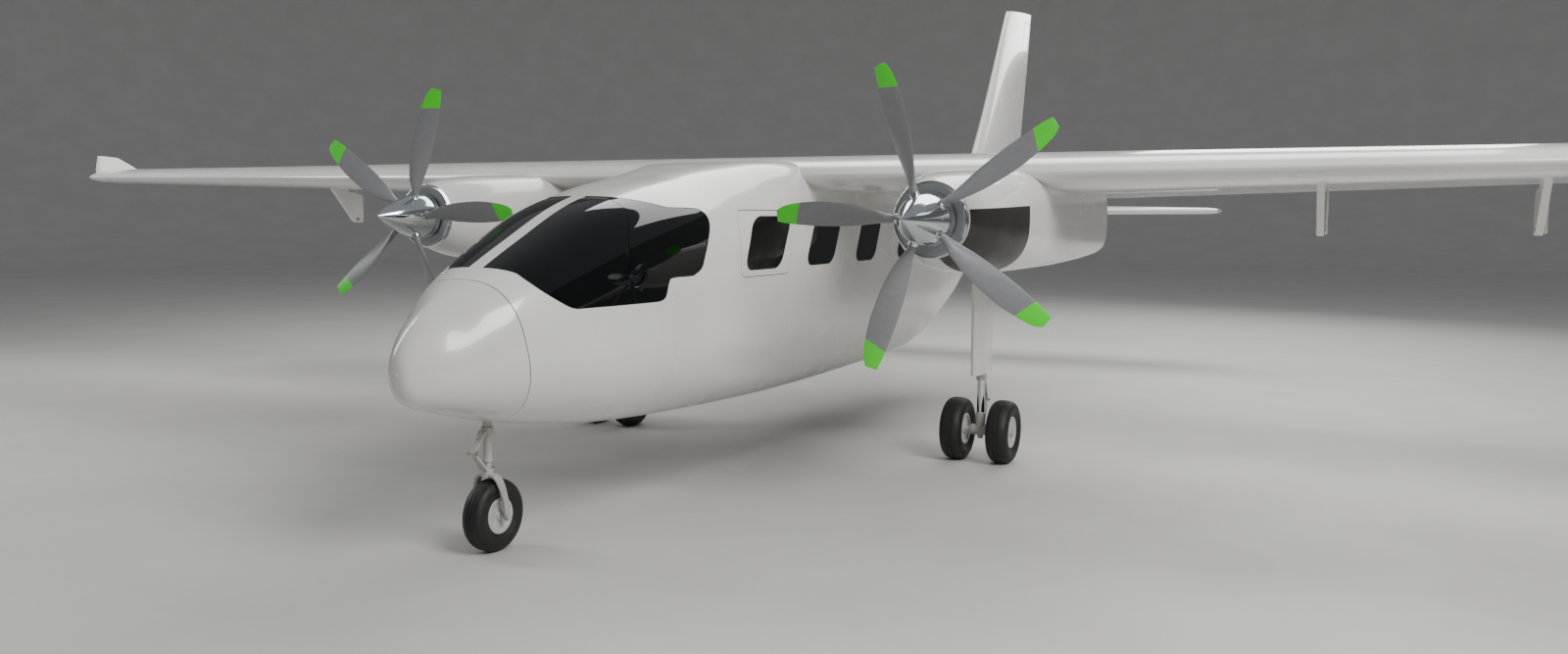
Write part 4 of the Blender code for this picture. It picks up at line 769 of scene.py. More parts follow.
def cabin_skin(inset):
    """The fuselage beside the cabin and the door, moved inward."""
    return fuselage_skin(fuselage_rows(0.05, 4.6), inset)


def build_glazing():
    """Seals and panes of the cockpit, lying in their recess."""
    bed = patch(glazing_prism(GLAZING_SEAL_GROW), front_skin(GLAZING_BED), front_skin(GLAZING_DEPTH))
    finish_pair("glazing_seal", bed, "black seal", "airframe")
    glass = patch(glazing_prism(-GLASS_SHRINK), front_skin(0.0), front_skin(GLAZING_BED - FLOOR_GAP))
    split = smooth_line(PANE_SPLIT, 5)
    for name, cad_node, gap, reach in (("windscreen", "windshield_*", -PANE_GAP_HALF, -2.2),
                                       ("cockpit_side_glass", "side_window_*", PANE_GAP_HALF, 0.8)):
        outline = [(y + gap, z) for y, z in split] + [(reach, 2.1), (reach, 1.0)]
        pane = carve(glass.copy(), side_prism(outline, 0.0, 1.0), "INTERSECT")
        finish_pair(name, pane, "acrylic over painted interior shade", "airframe", [cad_node])
    glass.free()


def build_fuselage():
    """Radome, its seal with painted seam shade, and the hull with recesses for the glass, the hatch
    seam and the door.
    """
    top, foot = (Vector((0.0, *point)) for point in RADOME_SEAM)
    slope = foot - top
    normal = Vector((0.0, -slope.z, slope.y)).normalized()
    nose_rows = [(NOSE_TIP_Y, 0.0), (NOSE_TIP_Y, 0.5), (NOSE_TIP_Y, 0.85)]
    nose_rows += fuselage_rows(NOSE_TIP_Y, -0.9)
    radome = halved(fuselage_skin(nose_rows), top - normal * SEAM_HALF, normal)
    finish("radome", radome, "radome enamel", "airframe", ["nose_cone"])
    # A black band deep in the radome seam: partly a seal, partly painted shade of the narrow gap above
    # it
    seal = fuselage_skin(fuselage_rows(-1.75, -1.1), SEAL_DEPTH)
    seal = halved(seal, top + normal * RADOME_SEAL_HALF, normal)
    seal = halved(seal, top - normal * RADOME_SEAL_HALF, -normal)
    finish("radome_seal", seal, "black seal", "airframe")

    rows = fuselage_rows(-1.8, TAIL_END_Y) + [(TAIL_END_Y, share) for share in TAIL_CAP_SHARES]
    body = halved(fuselage_skin(rows), top + normal * SEAM_HALF, -normal)
    glazing = glazing_prism(GLAZING_RECESS_GROW)
    body = carve(body, carve(both(glazing), front_skin(GLAZING_DEPTH + TRIM_GAP)))
    windows = gather([window_prism(i, WINDOW_RECESS_GROW) for i in range(len(CABIN_WINDOWS))])
    body = carve(body, carve(both(windows), cabin_skin(GLAZING_DEPTH)))
    groove = carve(hatch_prism(HATCH_GROOVE_HALF), hatch_prism(-HATCH_GROOVE_HALF))
    body = carve(body, carve(both(groove), cabin_skin(HATCH_GROOVE_DEPTH)))
    doorway = mirrored(door_prism(DOOR_GAP))
    body = carve(body, carve(doorway, cabin_skin(DOOR_THICKNESS + DOOR_RECESS_SPARE)))
    finish("fuselage", body, "gloss white enamel", "airframe", ["fuselage_forward", "fuselage_rear"])
    filler = carve(hatch_prism(HATCH_SEAL_HALF), hatch_prism(-HATCH_SEAL_HALF))
    filler = patch(both(filler), cabin_skin(SEAL_DEPTH), cabin_skin(HATCH_GROOVE_DEPTH - FLOOR_GAP))
    finish("hatch_seals", filler, "black seal", "airframe")


def hatch_prism(grow):
    """A cutter along the seam round the first window."""
    y, z, width, height = HATCH
    outline = rounded_box_outline(y, z, width, height, HATCH_CORNER, HATCH_LEAN, grow)
    return side_prism(outline, TRIM_CUTTER_IN, CUTTER_OUT)


def window_prism(index, grow, spare=0.0):
    """A cutter through one cabin window, longer at both ends by the spare."""
    front, width = CABIN_WINDOWS[index]
    outline = rounded_box_outline(front, WINDOW_LOW_Z, width, WINDOW_HIGH_Z - WINDOW_LOW_Z,
                                  WINDOW_CORNER, WINDOW_LEAN, grow)
    return side_prism(outline, CUTTER_IN - spare, CUTTER_OUT + spare)


def trim_layer(tool, depth):
    """The part of a window's seal or pane between its face and the floor of its recess."""
    return patch(tool, cabin_skin(depth), cabin_skin(GLAZING_DEPTH - TRIM_GAP))


def build_cabin_windows():
    """Panes, near-black with painted interior shade, in flush seals on both sides."""
    rims, panes = [], []
    for i in range(len(CABIN_WINDOWS)):
        rims.append(carve(window_prism(i, RIM_GROW), window_prism(i, -RIM_SHRINK, 0.1)))
        panes.append(window_prism(i, -PANE_SHRINK))
    finish_pair("cabin_window_seals", trim_layer(gather(rims), RIM_DEPTH), "black seal", "airframe")
    finish_pair("cabin_windows", trim_layer(gather(panes), PANE_DEPTH), "acrylic over painted interior shade", "airframe")


def door_prism(grow):
    """A cutter through the doorway, on the port side before it is mirrored."""
    outline = rounded_box_outline(DOOR_FRONT_Y, DOOR_LOW_Z, DOOR_WIDTH, DOOR_HIGH_Z - DOOR_LOW_Z,
                                  DOOR_CORNER, 0.0, grow)
    return side_prism(outline, DOOR_INSIDE_X, CUTTER_OUT)


def door_window(grow):
    """A cutter through the door's window."""
    back, low, width, height, corner, lean = DOOR_WINDOW
    outline = rounded_box_outline(DOOR_FRONT_Y + back, low, width, height, corner, lean, grow)
    return side_prism(outline, CUTTER_IN, CUTTER_OUT)


def build_door():
    """The door's leaf with its window, handle and hinges, made to port and mirrored."""
    leaf = patch(door_prism(0.0), cabin_skin(0.0), cabin_skin(DOOR_THICKNESS))
    leaf = carve(leaf, carve(door_window(WINDOW_RECESS_GROW), cabin_skin(GLAZING_DEPTH)))
    handle = Vector((0.0, DOOR_FRONT_Y + DOOR_WIDTH - DOOR_HANDLE[0], DOOR_HANDLE[1]))
    cup = rounded_box_outline(handle.y - 0.07, handle.z - 0.028, 0.14, 0.056, 0.02)
    cup = side_prism(cup, TRIM_CUTTER_IN, CUTTER_OUT)
    leaf = carve(leaf, carve(cup, cabin_skin(HANDLE_CUP_DEPTH)))
    finish("door_leaf", mirrored(leaf), "gloss white enamel", "cabin_door", ["cabin_door"])
    rim = trim_layer(carve(door_window(RIM_GROW), door_window(-RIM_SHRINK)), RIM_DEPTH)
    finish("door_window_seal", mirrored(rim), "black seal", "cabin_door")
    pane = trim_layer(door_window(-PANE_SHRINK), PANE_DEPTH)
    finish("door_window", mirrored(pane), "acrylic over painted interior shade", "cabin_door")
    lever = rounded_box_outline(handle.y - 0.060, handle.z - 0.010, 0.12, 0.020, 0.009)
    lever = side_prism(lever, TRIM_CUTTER_IN, CUTTER_OUT)
    lever = patch(lever, cabin_skin(0.001), cabin_skin(HANDLE_CUP_DEPTH - FLOOR_GAP))
    finish("door_handle", mirrored(soften(lever, 0.002)), "hard chrome", "cabin_door")
    x, y = DOOR_HINGE
    fixed, moving = [], []
    for z in DOOR_HINGES_Z:
        fixed.append(rod((x, y, z), (x, y, z + 0.0495), 0.012))
        leaf = block((x + 0.002, y - 0.040, z + 0.001), (x + 0.06, y, z + 0.0485))
        fixed.append(soften(leaf, 0.002))
        moving.append(rod((x, y, z + 0.050), (x, y, z + 0.100), 0.012))
        strap = block((x - 0.004, y, z + 0.051), (x + 0.040, y + 0.050, z + 0.099))
        moving.append(soften(strap, 0.002))
    finish("door_hinge_leaves", gather(fixed), "gloss white enamel", "airframe")
    finish("door_hinge_straps", gather(moving), "gloss white enamel", "cabin_door")


def block(low, high):
    """A box between two corners."""
    shape = bmesh.new()
    middle = (Vector(low) + Vector(high)) / 2
    size = Vector(high) - Vector(low)
    place = Matrix.Translation(middle) @ Matrix.Diagonal((*size, 1.0))
    bmesh.ops.create_cube(shape, size=1.0, matrix=place)
    return shape


# Wings and tail surfaces

AIRFOIL_CELLS = 30
AIRFOIL_COLUMNS = 2 * AIRFOIL_CELLS + 1
BLUNT_EDGE_HALF = 0.002


def airfoil_half(s):
    """Half thickness of the airfoil at a share of its chord, for a thickness of 1."""
    return 5 * (0.2969 * math.sqrt(s) - 0.1260 * s - 0.3516 * s ** 2 + 0.2843 * s ** 3
                - 0.1036 * s ** 4)


def airfoil_point(turn, leading, trailing, thickness, camber=0.0, grow=0.0, up=(0, 0, 1)):
    """Round an airfoil: from the trailing edge over the top, back below and up the blunt edge."""
    cells = AIRFOIL_CELLS
    step = round(turn * AIRFOIL_COLUMNS)
    side = -1.0 if cells < step <= 2 * cells else 1.0
    if step <= cells:
        s = (1 + math.cos(math.pi * step / cells)) / 2
    elif step <= 2 * cells:
        s = (1 - math.cos(math.pi * (step - cells) / cells)) / 2
    else:
        s = 1.0
    leading = Vector(leading)
    chord = Vector(trailing) - leading
    along = chord.normalized()
    up = Vector(up)
    up = (up - along * up.dot(along)).normalized()
    lift = chord.length * (4 * camber * s * (1 - s) + side * thickness * airfoil_half(s))
    reach = (s - 0.5) * (chord.length + 2 * grow) + 0.5 * chord.length
    return leading + along * reach + up * (lift + side * (BLUNT_EDGE_HALF * s + grow))


def wing_edges(x):
    """Leading and trailing edge points at a distance out along the wing."""
    for inner, outer in zip(WING_SECTIONS, WING_SECTIONS[1:]):
        if inner[0] <= abs(x) <= outer[0]:
            t = (abs(x) - inner[0]) / (outer[0] - inner[0])
            row = [a + (b - a) * t for a, b in zip(inner, outer)]
            return Vector((x, row[1], row[2])), Vector((x, row[3], row[4]))
    raise ValueError(x)


def wing_skin(rows):
    """The whole wing between rows out along it."""
    def point(turn, x):
        return airfoil_point(turn, *wing_edges(x), WING_THICKNESS, WING_CAMBER)
    return loft(AIRFOIL_COLUMNS, rows, point)


def span_rows(start, end):
    """Places out along the wing for its rows, about evenly spaced, with one at its break."""
    count = max(1, round((end - start) / WING_ROW_STEP))
    rows = [start + (end - start) * i / count for i in range(count + 1)]
    return sorted(rows + [x for x in (WING_BREAK_X,) if start < x < end])


def wing_hinge(x):
    """Centre and half thickness of the wing at the hinge line."""
    leading, trailing = wing_edges(x)
    chord = trailing - leading
    bow = 4 * WING_CAMBER * HINGE_FRACTION * (1 - HINGE_FRACTION)
    centre = leading + chord * HINGE_FRACTION + Vector((0.0, 0.0, chord.length * bow))
    return centre, WING_THICKNESS * airfoil_half(HINGE_FRACTION) * chord.length + 0.001


def hinge_zone(first, second, radii, across, turn_axis):
    """All behind a hinge line, with a round front about it and ends square to the turn axis."""
    across, turn_axis = Vector(across), Vector(turn_axis)
    reach, depth, steps = 1.2, 0.35, 16
    shape = bmesh.new()
    loops = []
    for centre, radius in ((first, radii[0]), (second, radii[1])):
        line = [centre + Vector((0, reach, 0)) + across * depth, centre + across * depth]
        for step in range(steps + 1):
            angle = math.pi * (0.5 - step / steps)
            line.append(centre + across * radius * math.sin(angle)
                        - Vector((0, radius * math.cos(angle), 0)))
        line += [centre - across * depth, centre + Vector((0, reach, 0)) - across * depth]
        if turn_axis.x > 0.0:
            line = [point - Vector((turn_axis.dot(point - centre) / turn_axis.x, 0, 0))
                    for point in line]
        loops.append([shape.verts.new(point) for point in line])
    rims = []
    for loop in loops:
        rims += shape.faces.new(loop).edges
    bmesh.ops.bridge_loops(shape, edges=rims)
    bmesh.ops.recalc_face_normals(shape, faces=shape.faces)
    return shape


def surface_zone(span, clearance, end_gap, turn_axis=(1, 0, 0)):
    """The part of the wing that belongs to a flap or aileron."""
    inner, outer = wing_hinge(span[0] + end_gap), wing_hinge(span[1] - end_gap)
    radii = inner[1] + clearance, outer[1] + clearance
    return hinge_zone(inner[0], outer[0], radii, (0, 0, 1), turn_axis)


def flap_pivot(x):
    """The point of a flap's pivot line at a distance out along the wing."""
    points = []
    for bracket_x, z in zip(FLAP_BRACKETS_X, FLAP_PIVOT_Z):
        centre, radius = wing_hinge(bracket_x)
        points.append(Vector((bracket_x, centre.y - radius + FLAP_PIVOT_BACK, z)))
    return points[0].lerp(points[1], (x - points[0].x) / (points[1].x - points[0].x))


def flap_axis():
    """The way from the inner pivot of a flap to its outer one."""
    return (flap_pivot(FLAP_BRACKETS_X[1]) - flap_pivot(FLAP_BRACKETS_X[0])).normalized()


def build_wings():
    """Wing panels with their coves, flaps on their arms, ailerons, paddles and pivot pins."""
    middle = wing_skin(span_rows(-WING_JOINT_X, WING_JOINT_X))
    finish("wing_middle", middle, "gloss white enamel", "airframe", ["wing_center"])
    axis = flap_axis()
    rows = span_rows(WING_JOINT_X + 0.0003, WING_TIP_X)
    wing = carve(wing_skin(rows), surface_zone(FLAP_SPAN, COVE_GAP, 0.0, axis))
    wing = carve(wing, surface_zone(AILERON_SPAN, COVE_GAP, 0.0))
    finish_pair("wing_panel", wing, "gloss white enamel", "airframe", ["wing_*"])
    flap = carve(wing_skin(rows), surface_zone(FLAP_SPAN, 0.0, END_GAP, axis), "INTERSECT")
    aileron = carve(wing_skin(rows), surface_zone(AILERON_SPAN, 0.0, END_GAP), "INTERSECT")
    finish_pair("aileron_surface", aileron, "gloss white enamel", "aileron_*", ["aileron_*"])
    arms, paddles, pins = [flap], [], []
    for x in FLAP_BRACKETS_X:
        paddles.append(flap_bracket(x))
        arms.append(flap_arm(x))
        pivot = flap_pivot(x)
        reach = BRACKET_THICKNESS / 2
        ends = pivot - axis * (reach + 0.002), pivot + axis * (reach + 0.023)
        pins.append(rod(*ends, FLAP_PIN_RADIUS, 24))
        pins.append(hex_bolt(pivot - axis * reach, -axis, 0.013, 0.008))
    finish_pair("flap_surface", gather(arms), "gloss white enamel", "flap_*", ["flap_*"])
    finish_pair("flap_brackets", gather(paddles), "gloss white enamel", "airframe",
                ["flap_bracket_inner_*", "flap_bracket_outer_*"])
    finish_pair("flap_pivot_pins", gather(pins), "plated fastener", "airframe")


def round_foot(centre, radius, first, last):
    """Points (y, z) of an arc about a centre, from one angle in degrees to another."""
    steps = 8
    arc = []
    for step in range(steps + 1):
        angle = math.radians(first + (last - first) * step / steps)
        arc.append((centre.y + radius * math.cos(angle), centre.z + radius * math.sin(angle)))
    return arc


def flap_bracket(x):
    """Thick slanted paddle under the wing, with round edges and a round foot."""
    pivot = flap_pivot(x)
    centre, radius = wing_hinge(x)
    underside = centre.z - radius
    lip = centre.y - 0.045
    rear = pivot.y + BRACKET_HEEL
    shoulder = pivot.z + BRACKET_HEIGHT
    outline = [(rear - BRACKET_LENGTH, underside + 0.040), (pivot.y - 0.055, pivot.z),
               (pivot.y - 0.038, pivot.z - 0.018), (pivot.y - 0.020, pivot.z - 0.028),
               (pivot.y + 0.004, pivot.z - 0.033), (rear - 0.024, pivot.z - 0.034),
               (rear - 0.008, pivot.z - 0.030), (rear, pivot.z - 0.014), (rear, shoulder - 0.012),
               (rear - 0.010, shoulder + 0.001), (lip, underside - 0.025),
               (lip - 0.015, underside + 0.025)]
    half = BRACKET_THICKNESS / 2
    return prism([Vector((x - half, y, z)) for y, z in outline], Vector((2 * half, 0, 0)), 0.009, 4)


def flap_arm(x):
    """Arm from the flap down to its pivot beside the paddle, with a round eye."""
    pivot = flap_pivot(x)
    centre, radius = wing_hinge(x)
    under = centre.z - radius + 0.012
    outline = [(pivot.y + 0.055, under), (pivot.y - 0.025, under)]
    outline += round_foot(pivot, 0.022, 160, 380)
    inner = x + BRACKET_THICKNESS / 2 + FLAP_ARM_GAP
    arm = prism([Vector((inner, y, z)) for y, z in outline], Vector((0.012, 0, 0)), 0.002)
    return carve(arm, rod(pivot, pivot + flap_axis() * 0.09, FLAP_PIN_HOLE_RADIUS, 24))


def build_winglets():
    """Rounded wing tips with their small canted blades."""
    leading, trailing = wing_edges(WING_TIP_X)

    def tip_point(turn, row):
        out, share, back = row
        front, rear = leading + Vector((out, back, 0)), trailing + Vector((out, -back, 0))
        return airfoil_point(turn, front, rear, WING_THICKNESS * share, WING_CAMBER)
    cant = math.radians(WINGLET_CANT)
    lean = Vector((math.sin(cant), 0.0, math.cos(cant)))
    across = Vector((math.cos(cant), 0.0, -math.sin(cant)))
    foot = leading + Vector((0.035, 0.060, 0.0))

    def blade_point(turn, rise):
        start = foot + lean * rise + Vector((0.0, read_curve(WINGLET_FRONTS, rise), 0.0))
        end = start + Vector((0.0, read_curve(WINGLET_CHORDS, rise), -0.012))
        return airfoil_point(turn, start, end, WINGLET_THICKNESS, up=across)
    tip = loft(AIRFOIL_COLUMNS, WING_TIP_ROWS, tip_point)
    blade = loft(AIRFOIL_COLUMNS, [WINGLET_HEIGHT * i / 12 for i in range(13)], blade_point)
    finish_pair("winglet_tip", carve(tip, blade, "UNION"), "gloss white enamel", "airframe",
                ["winglet_*"], 50.0)


def fin_point(turn, z):
    """A point of the fin and rudder at a height, with a top that slopes."""
    climb = (z - FIN_TOP_START_Z) / (FIN_ROW_HEIGHTS[-1] - FIN_TOP_START_Z)
    chord_rise = FIN_TOP_RISE * max(0.0, climb)
    leading, trailing = read_curve(FIN_LEADING, z), read_curve(FIN_TRAILING, z)
    thickness = read_curve(FIN_THICKNESS, z) / (trailing - leading)
    front, rear = (0, leading, z), (0, trailing, z + chord_rise)
    return airfoil_point(turn, front, rear, thickness, up=(1, 0, 0))


def build_fin():
    """Fin with its cove, and the rudder."""
    rows = [low + (high - low) * i / FIN_ROW_COUNT
            for low, high in zip(FIN_ROW_HEIGHTS, FIN_ROW_HEIGHTS[1:]) for i in range(FIN_ROW_COUNT)]
    rows.append(FIN_ROW_HEIGHTS[-1])
    heights = RUDDER_FOOT_Z, RUDDER_HEAD_Z
    foot, head = (Vector((0.0, y, z)) for y, z in zip(RUDDER_HINGE_Y, heights))

    def zone(clearance, end_gap):
        rise = (head - foot) * (end_gap / (head.z - foot.z))
        radii = [radius + clearance for radius in RUDDER_NOSE_RADII]
        return hinge_zone(foot + rise, head - rise, radii, (1, 0, 0), (0, 0, 0))
    fin = carve(loft(AIRFOIL_COLUMNS, rows, fin_point), zone(COVE_GAP, 0.0))
    rudder = carve(loft(AIRFOIL_COLUMNS, rows, fin_point), zone(0.0, END_GAP), "INTERSECT")
    finish("fin_skin", fin, "gloss white enamel", "airframe", ["fin"])
    finish("rudder_skin", rudder, "gloss white enamel", "rudder", ["rudder"])


def tailplane_skin():
    """Tailplane and elevator in one, with round tips."""
    def point(turn, x):
        rows = TAILPLANE_SECTIONS
        inner, outer = (rows[0], rows[1]) if abs(x) <= rows[1][0] else (rows[1], rows[2])
        t = (abs(x) - inner[0]) / (outer[0] - inner[0])
        leading, trailing = (inner[i] + (outer[i] - inner[i]) * t for i in (1, 2))
        front, rear = (x, leading, TAILPLANE_Z), (x, trailing, TAILPLANE_Z)
        return airfoil_point(turn, front, rear, TAILPLANE_THICKNESS)
    out = [0.23 * i for i in range(11)] + list(TAILPLANE_TIP_ROWS)
    return loft(AIRFOIL_COLUMNS, [-x for x in reversed(out[1:])] + out, point)


def elevator_radius(x):
    """Half thickness of the tailplane at the elevator's hinge line."""
    inner, outer = TAILPLANE_SECTIONS[:2]
    t = abs(x) / outer[0]
    leading = inner[1] + (outer[1] - inner[1]) * t
    chord = inner[2] + (outer[2] - inner[2]) * t - leading
    return TAILPLANE_THICKNESS * chord * airfoil_half((ELEVATOR_HINGE_Y - leading) / chord) + 0.001


def elevator_zone(first_x, second_x, clearance):
    """The part of the tailplane that belongs to the elevator."""
    ends = [Vector((x, ELEVATOR_HINGE_Y, TAILPLANE_Z)) for x in (first_x, second_x)]
    radii = [elevator_radius(x) + clearance for x in (first_x, second_x)]
    return hinge_zone(*ends, radii, (0, 0, 1), (1, 0, 0))


def build_tailplane():
    """Tailplane with its cove, and the two halves of the elevator on their tube."""
    reach = ELEVATOR_SPAN[1] + END_GAP
    fixed = carve(tailplane_skin(), elevator_zone(-reach, 0.0, COVE_GAP))
    fixed = carve(fixed, elevator_zone(0.0, reach, COVE_GAP))
    finish("tailplane_skin", fixed, "gloss white enamel", "airframe", ["tailplane"])
    half = carve(tailplane_skin(), elevator_zone(*ELEVATOR_SPAN, 0.0), "INTERSECT")
    tube = rod((-0.2, ELEVATOR_HINGE_Y, TAILPLANE_Z), (0.2, ELEVATOR_HINGE_Y, TAILPLANE_Z),
               ELEVATOR_TUBE_RADIUS)
    elevator = gather((mirrored(half), half, tube))
    finish("elevator_skin", elevator, "gloss white enamel", "elevator", ["elevator"])


# Power plants

def nacelle_skin(inset=0.0, first=NACELLE_FRONT_Y, last=NACELLE_REAR_Y):
    """A nacelle between two stations, moved inward by the inset; its rear end has a round rim."""
    columns = [tuple((row[0], row[i]) for row in NACELLE_RINGS) for i in range(1, 6)]
    count = 44
    rows = [(first + (last - first) * (i / count) ** 1.3, 1.0) for i in range(count + 1)]
    if last == NACELLE_REAR_Y:
        rows[-1] = (last - 0.007, 0.988)
        rows += [(last - 0.001, 0.972), (last, 0.955)]

    def point(turn, row):
        y, share = row
        low, high, half_width, upper, lower = (read_curve(column, y) for column in columns)
        x, z = rounded_point(turn, low + inset, high - inset, half_width - inset, upper, lower, 0.5)
        middle = (low + high) / 2
        return Vector((HUB_X + x * share, y, middle + (z - middle) * share))
    return loft(88, rows, point)


def above_wing():
    """The wing's own space over a nacelle, with all that lies above it."""
    leading, trailing = wing_edges(2.0)
    under = [airfoil_point(i / AIRFOIL_COLUMNS, leading, trailing, WING_THICKNESS, WING_CAMBER,
                           TRIM_GAP) for i in range(AIRFOIL_CELLS + 1, AIRFOIL_COLUMNS)]
    outline = [(trailing.y + TRIM_GAP, 2.6), (leading.y - 2 * TRIM_GAP, 2.6)]
    outline += [(point.y, point.z) for point in under]
    return side_prism(outline, 1.2, WING_JOINT_X)


def cowl_panel_prism(grow):
    """Side view of the dark panel on the outboard front of a nacelle, down to its keel."""
    front, rear, low = COWL_PANEL_FRONT_Y, COWL_PANEL_REAR_Y + grow, COWL_PANEL_LOW_Z
    outline = [(front, 1.752 + grow), (rear, 1.775 + grow), (rear, low), (front, low)]
    return side_prism(outline, HUB_X + COWL_PANEL_X - grow, HUB_X + 0.6)


def build_nacelles():
    """Nacelles with dark panels, and the brushed plate and polished lip behind each spinner."""
    body = carve(nacelle_skin(), above_wing())
    floor = nacelle_skin(COWL_PANEL_DEPTH, 0.166, 1.4)
    body = carve(body, carve(cowl_panel_prism(0.002), floor))
    finish_pair("nacelle_skin", body, "gloss white enamel", "airframe", ["nacelle_*"])
    front, back, lip = COWL_FRONT_Y, COWL_BACK_Y, COWL_RADIUS
    outside = nacelle_skin(TRIM_GAP, back, 1.4)
    floor = nacelle_skin(COWL_PANEL_DEPTH - FLOOR_GAP, 0.166, 1.4)
    panel = patch(cowl_panel_prism(0.0), outside, floor)
    finish_pair("cowl_panel", panel, "graphite cowl paint", "airframe")
    centre = Vector((HUB_X, 0.0, HUB_Z))
    bore = 0.055
    plate_profile = ((bore, front + 0.002), (lip - 0.016, front + 0.002),
                     (lip - 0.010, front + 0.006), (lip - 0.008, back), (bore, back))
    disc = turned(plate_profile, centre, (0, 1, 0), 96)
    finish_pair("backing_plate", disc, "brushed plate", "airframe")
    rim = [(lip - 0.0095, back), (lip - 0.0095, front + 0.005)]
    for degrees in range(180, -1, -30):
        angle = math.radians(degrees)
        rim.append((lip - 0.0045 + 0.0045 * math.cos(angle),
                    front + 0.005 - 0.005 * math.sin(angle)))
    rim.append((lip, back))
    rim = turned(rim, centre, (0, 1, 0), 96)
    finish_pair("cowl_lip", rim, "polished spun aluminium", "airframe", ["cowl_ring_*"])


def spinner_outline(inset=0.0):
    """Profile of the spinner, (radius, y), pointed at the front and straight at its base."""
    length = SPINNER_BASE_Y - 0.014 - SPINNER_TIP_Y
    steps = 36
    outline = []
    for step in range(steps + 1):
        t = (step / steps) ** 1.4
        outline.append((SPINNER_RADIUS * (1 - (1 - t) ** 1.8) - inset, SPINNER_TIP_Y + length * t))
    return outline + [(SPINNER_RADIUS - inset, SPINNER_BASE_Y)]


def blade_skin(angle):
    """A blade from its round root to its squared tip, twisted and swept."""
    span = BLADE_TIP_RADIUS - BLADE_SHOULDER_RADIUS
    rows = [BLADE_ROOT_RADIUS, 0.12] + [BLADE_SHOULDER_RADIUS + span * i / 34 for i in range(35)]
    out = Vector((math.cos(angle), 0.0, math.sin(angle)))
    turning = Vector((-math.sin(angle), 0.0, math.cos(angle)))
    centre = Vector((HUB_X, 0.0, HUB_Z))

    def point(turn, radius):
        pitch = math.atan2(BLADE_PITCH_REACH, radius + 0.05)
        along = turning * math.cos(pitch) + Vector((0, 1, 0)) * math.sin(pitch)
        across = Vector((0, 1, 0)) * math.cos(pitch) - turning * math.sin(pitch)
        chord, thick = read_curve(BLADE_CHORD, radius), read_curve(BLADE_THICKNESS, radius)
        lens = 1.0 + 0.45 * min(max((radius - BLADE_SHOULDER_RADIUS) / 0.12, 0.0), 1.0)
        turn *= math.tau
        bulge = math.copysign(abs(math.sin(turn)) ** lens, math.sin(turn))
        reach = read_curve(BLADE_SWEEP, radius) + chord / 2 * math.cos(turn)
        return centre + out * radius + along * reach + across * thick / 2 * bulge
    return loft(28, rows, point)


def build_propellers():
    """Hollow spinners with holes for the blades, a hub inside, blades and their root collars."""
    centre = Vector((HUB_X, 0.0, HUB_Z))
    inner = [point for point in reversed(spinner_outline(SPINNER_WALL)) if point[0] > 0.008]
    shell = spinner_outline() + inner + [(0.0, inner[-1][1] - 0.010)]
    spinner = turned(shell, centre, (0, 1, 0), 96)
    rim, rear = SPINNER_RADIUS - 0.0045, SPINNER_BASE_Y - 0.003
    hub = ((0.0, -0.075), (0.075, -0.075), (0.090, -0.055), (0.090, 0.060),
           (rim - 0.010, rear - 0.008), (rim, rear - 0.008), (rim, rear), (0.032, rear),
           (0.032, 0.20), (0.0, 0.20))
    blades, collars, holes = [turned(hub, centre, (0, 1, 0), 64)], [], []
    for number in range(BLADE_COUNT):
        angle = math.radians(BLADE_PHASE) + math.tau * number / BLADE_COUNT
        out = Vector((math.cos(angle), 0.0, math.sin(angle)))
        blades.append(blade_skin(angle))
        holes.append(rod(centre + out * 0.095, centre + out * 0.20, SPINNER_HOLE_RADIUS, 40))
        collars.append(ring(centre, out, *COLLAR_RADII, *COLLAR_REACH, 40))
    spinner = carve(spinner, gather(holes))
    finish_pair("spinner_shell", spinner, "polished spun aluminium", "propeller_*", ["spinner_*"])
    finish_pair("blade_collars", gather(collars), "polished spun aluminium", "propeller_*")
    finish_pair("blades", gather(blades), "satin blade paint", "propeller_*", ["propeller_*"], 40.0)
    for side, sign in SIDES:
        mark_tips(bpy.data.objects[f"blades_{side}"].data, sign)


def mark_tips(mesh, sign):
    """Give each corner its distance out along its blade, less a share of its place across it."""
    reach = mesh.attributes.new("paint_reach", "FLOAT", "POINT")
    pitch = math.tau / BLADE_COUNT
    for corner, value in zip(mesh.vertices, reach.data):
        x, z = sign * corner.co.x - HUB_X, corner.co.z - HUB_Z
        turn = math.atan2(z, x) - math.radians(BLADE_PHASE)
        turn -= pitch * round(turn / pitch)
        value.value = math.hypot(x, z) * (math.cos(turn) - GREEN_TIP_SLANT * math.sin(turn))


# Landing gear

def tyre_skin(centre, size):
    """Round-shouldered tyre with two shallow grooves, seated on its rim."""
    radius, width, rim_radius = size
    bead = width * BEAD_SHARE
    middle = (radius + rim_radius) / 2 + 0.004
    reach = radius - middle
    side = [(rim_radius + 0.0003, bead - 0.001), (rim_radius + 0.008, bead)]
    for step in range(15):
        angle = math.radians(-28.0 + (84.0 + 28.0) * step / 14)
        side.append((middle + reach * math.sin(angle), width / 2 * math.cos(angle) ** 0.6))
    side = [point for point in side if point[1] > width * 0.17 or point[0] < middle]
    side.append((radius, width * 0.16))
    groove = width * 0.085
    side += [(radius, groove + 0.0025), (radius - 0.0025, groove + 0.0018),
             (radius - 0.0025, groove - 0.0018), (radius, groove - 0.0025)]
    profile = side + [(ring_radius, -along) for ring_radius, along in reversed(side)]
    return turned(profile, centre, (1, 0, 0), WHEEL_STEPS)


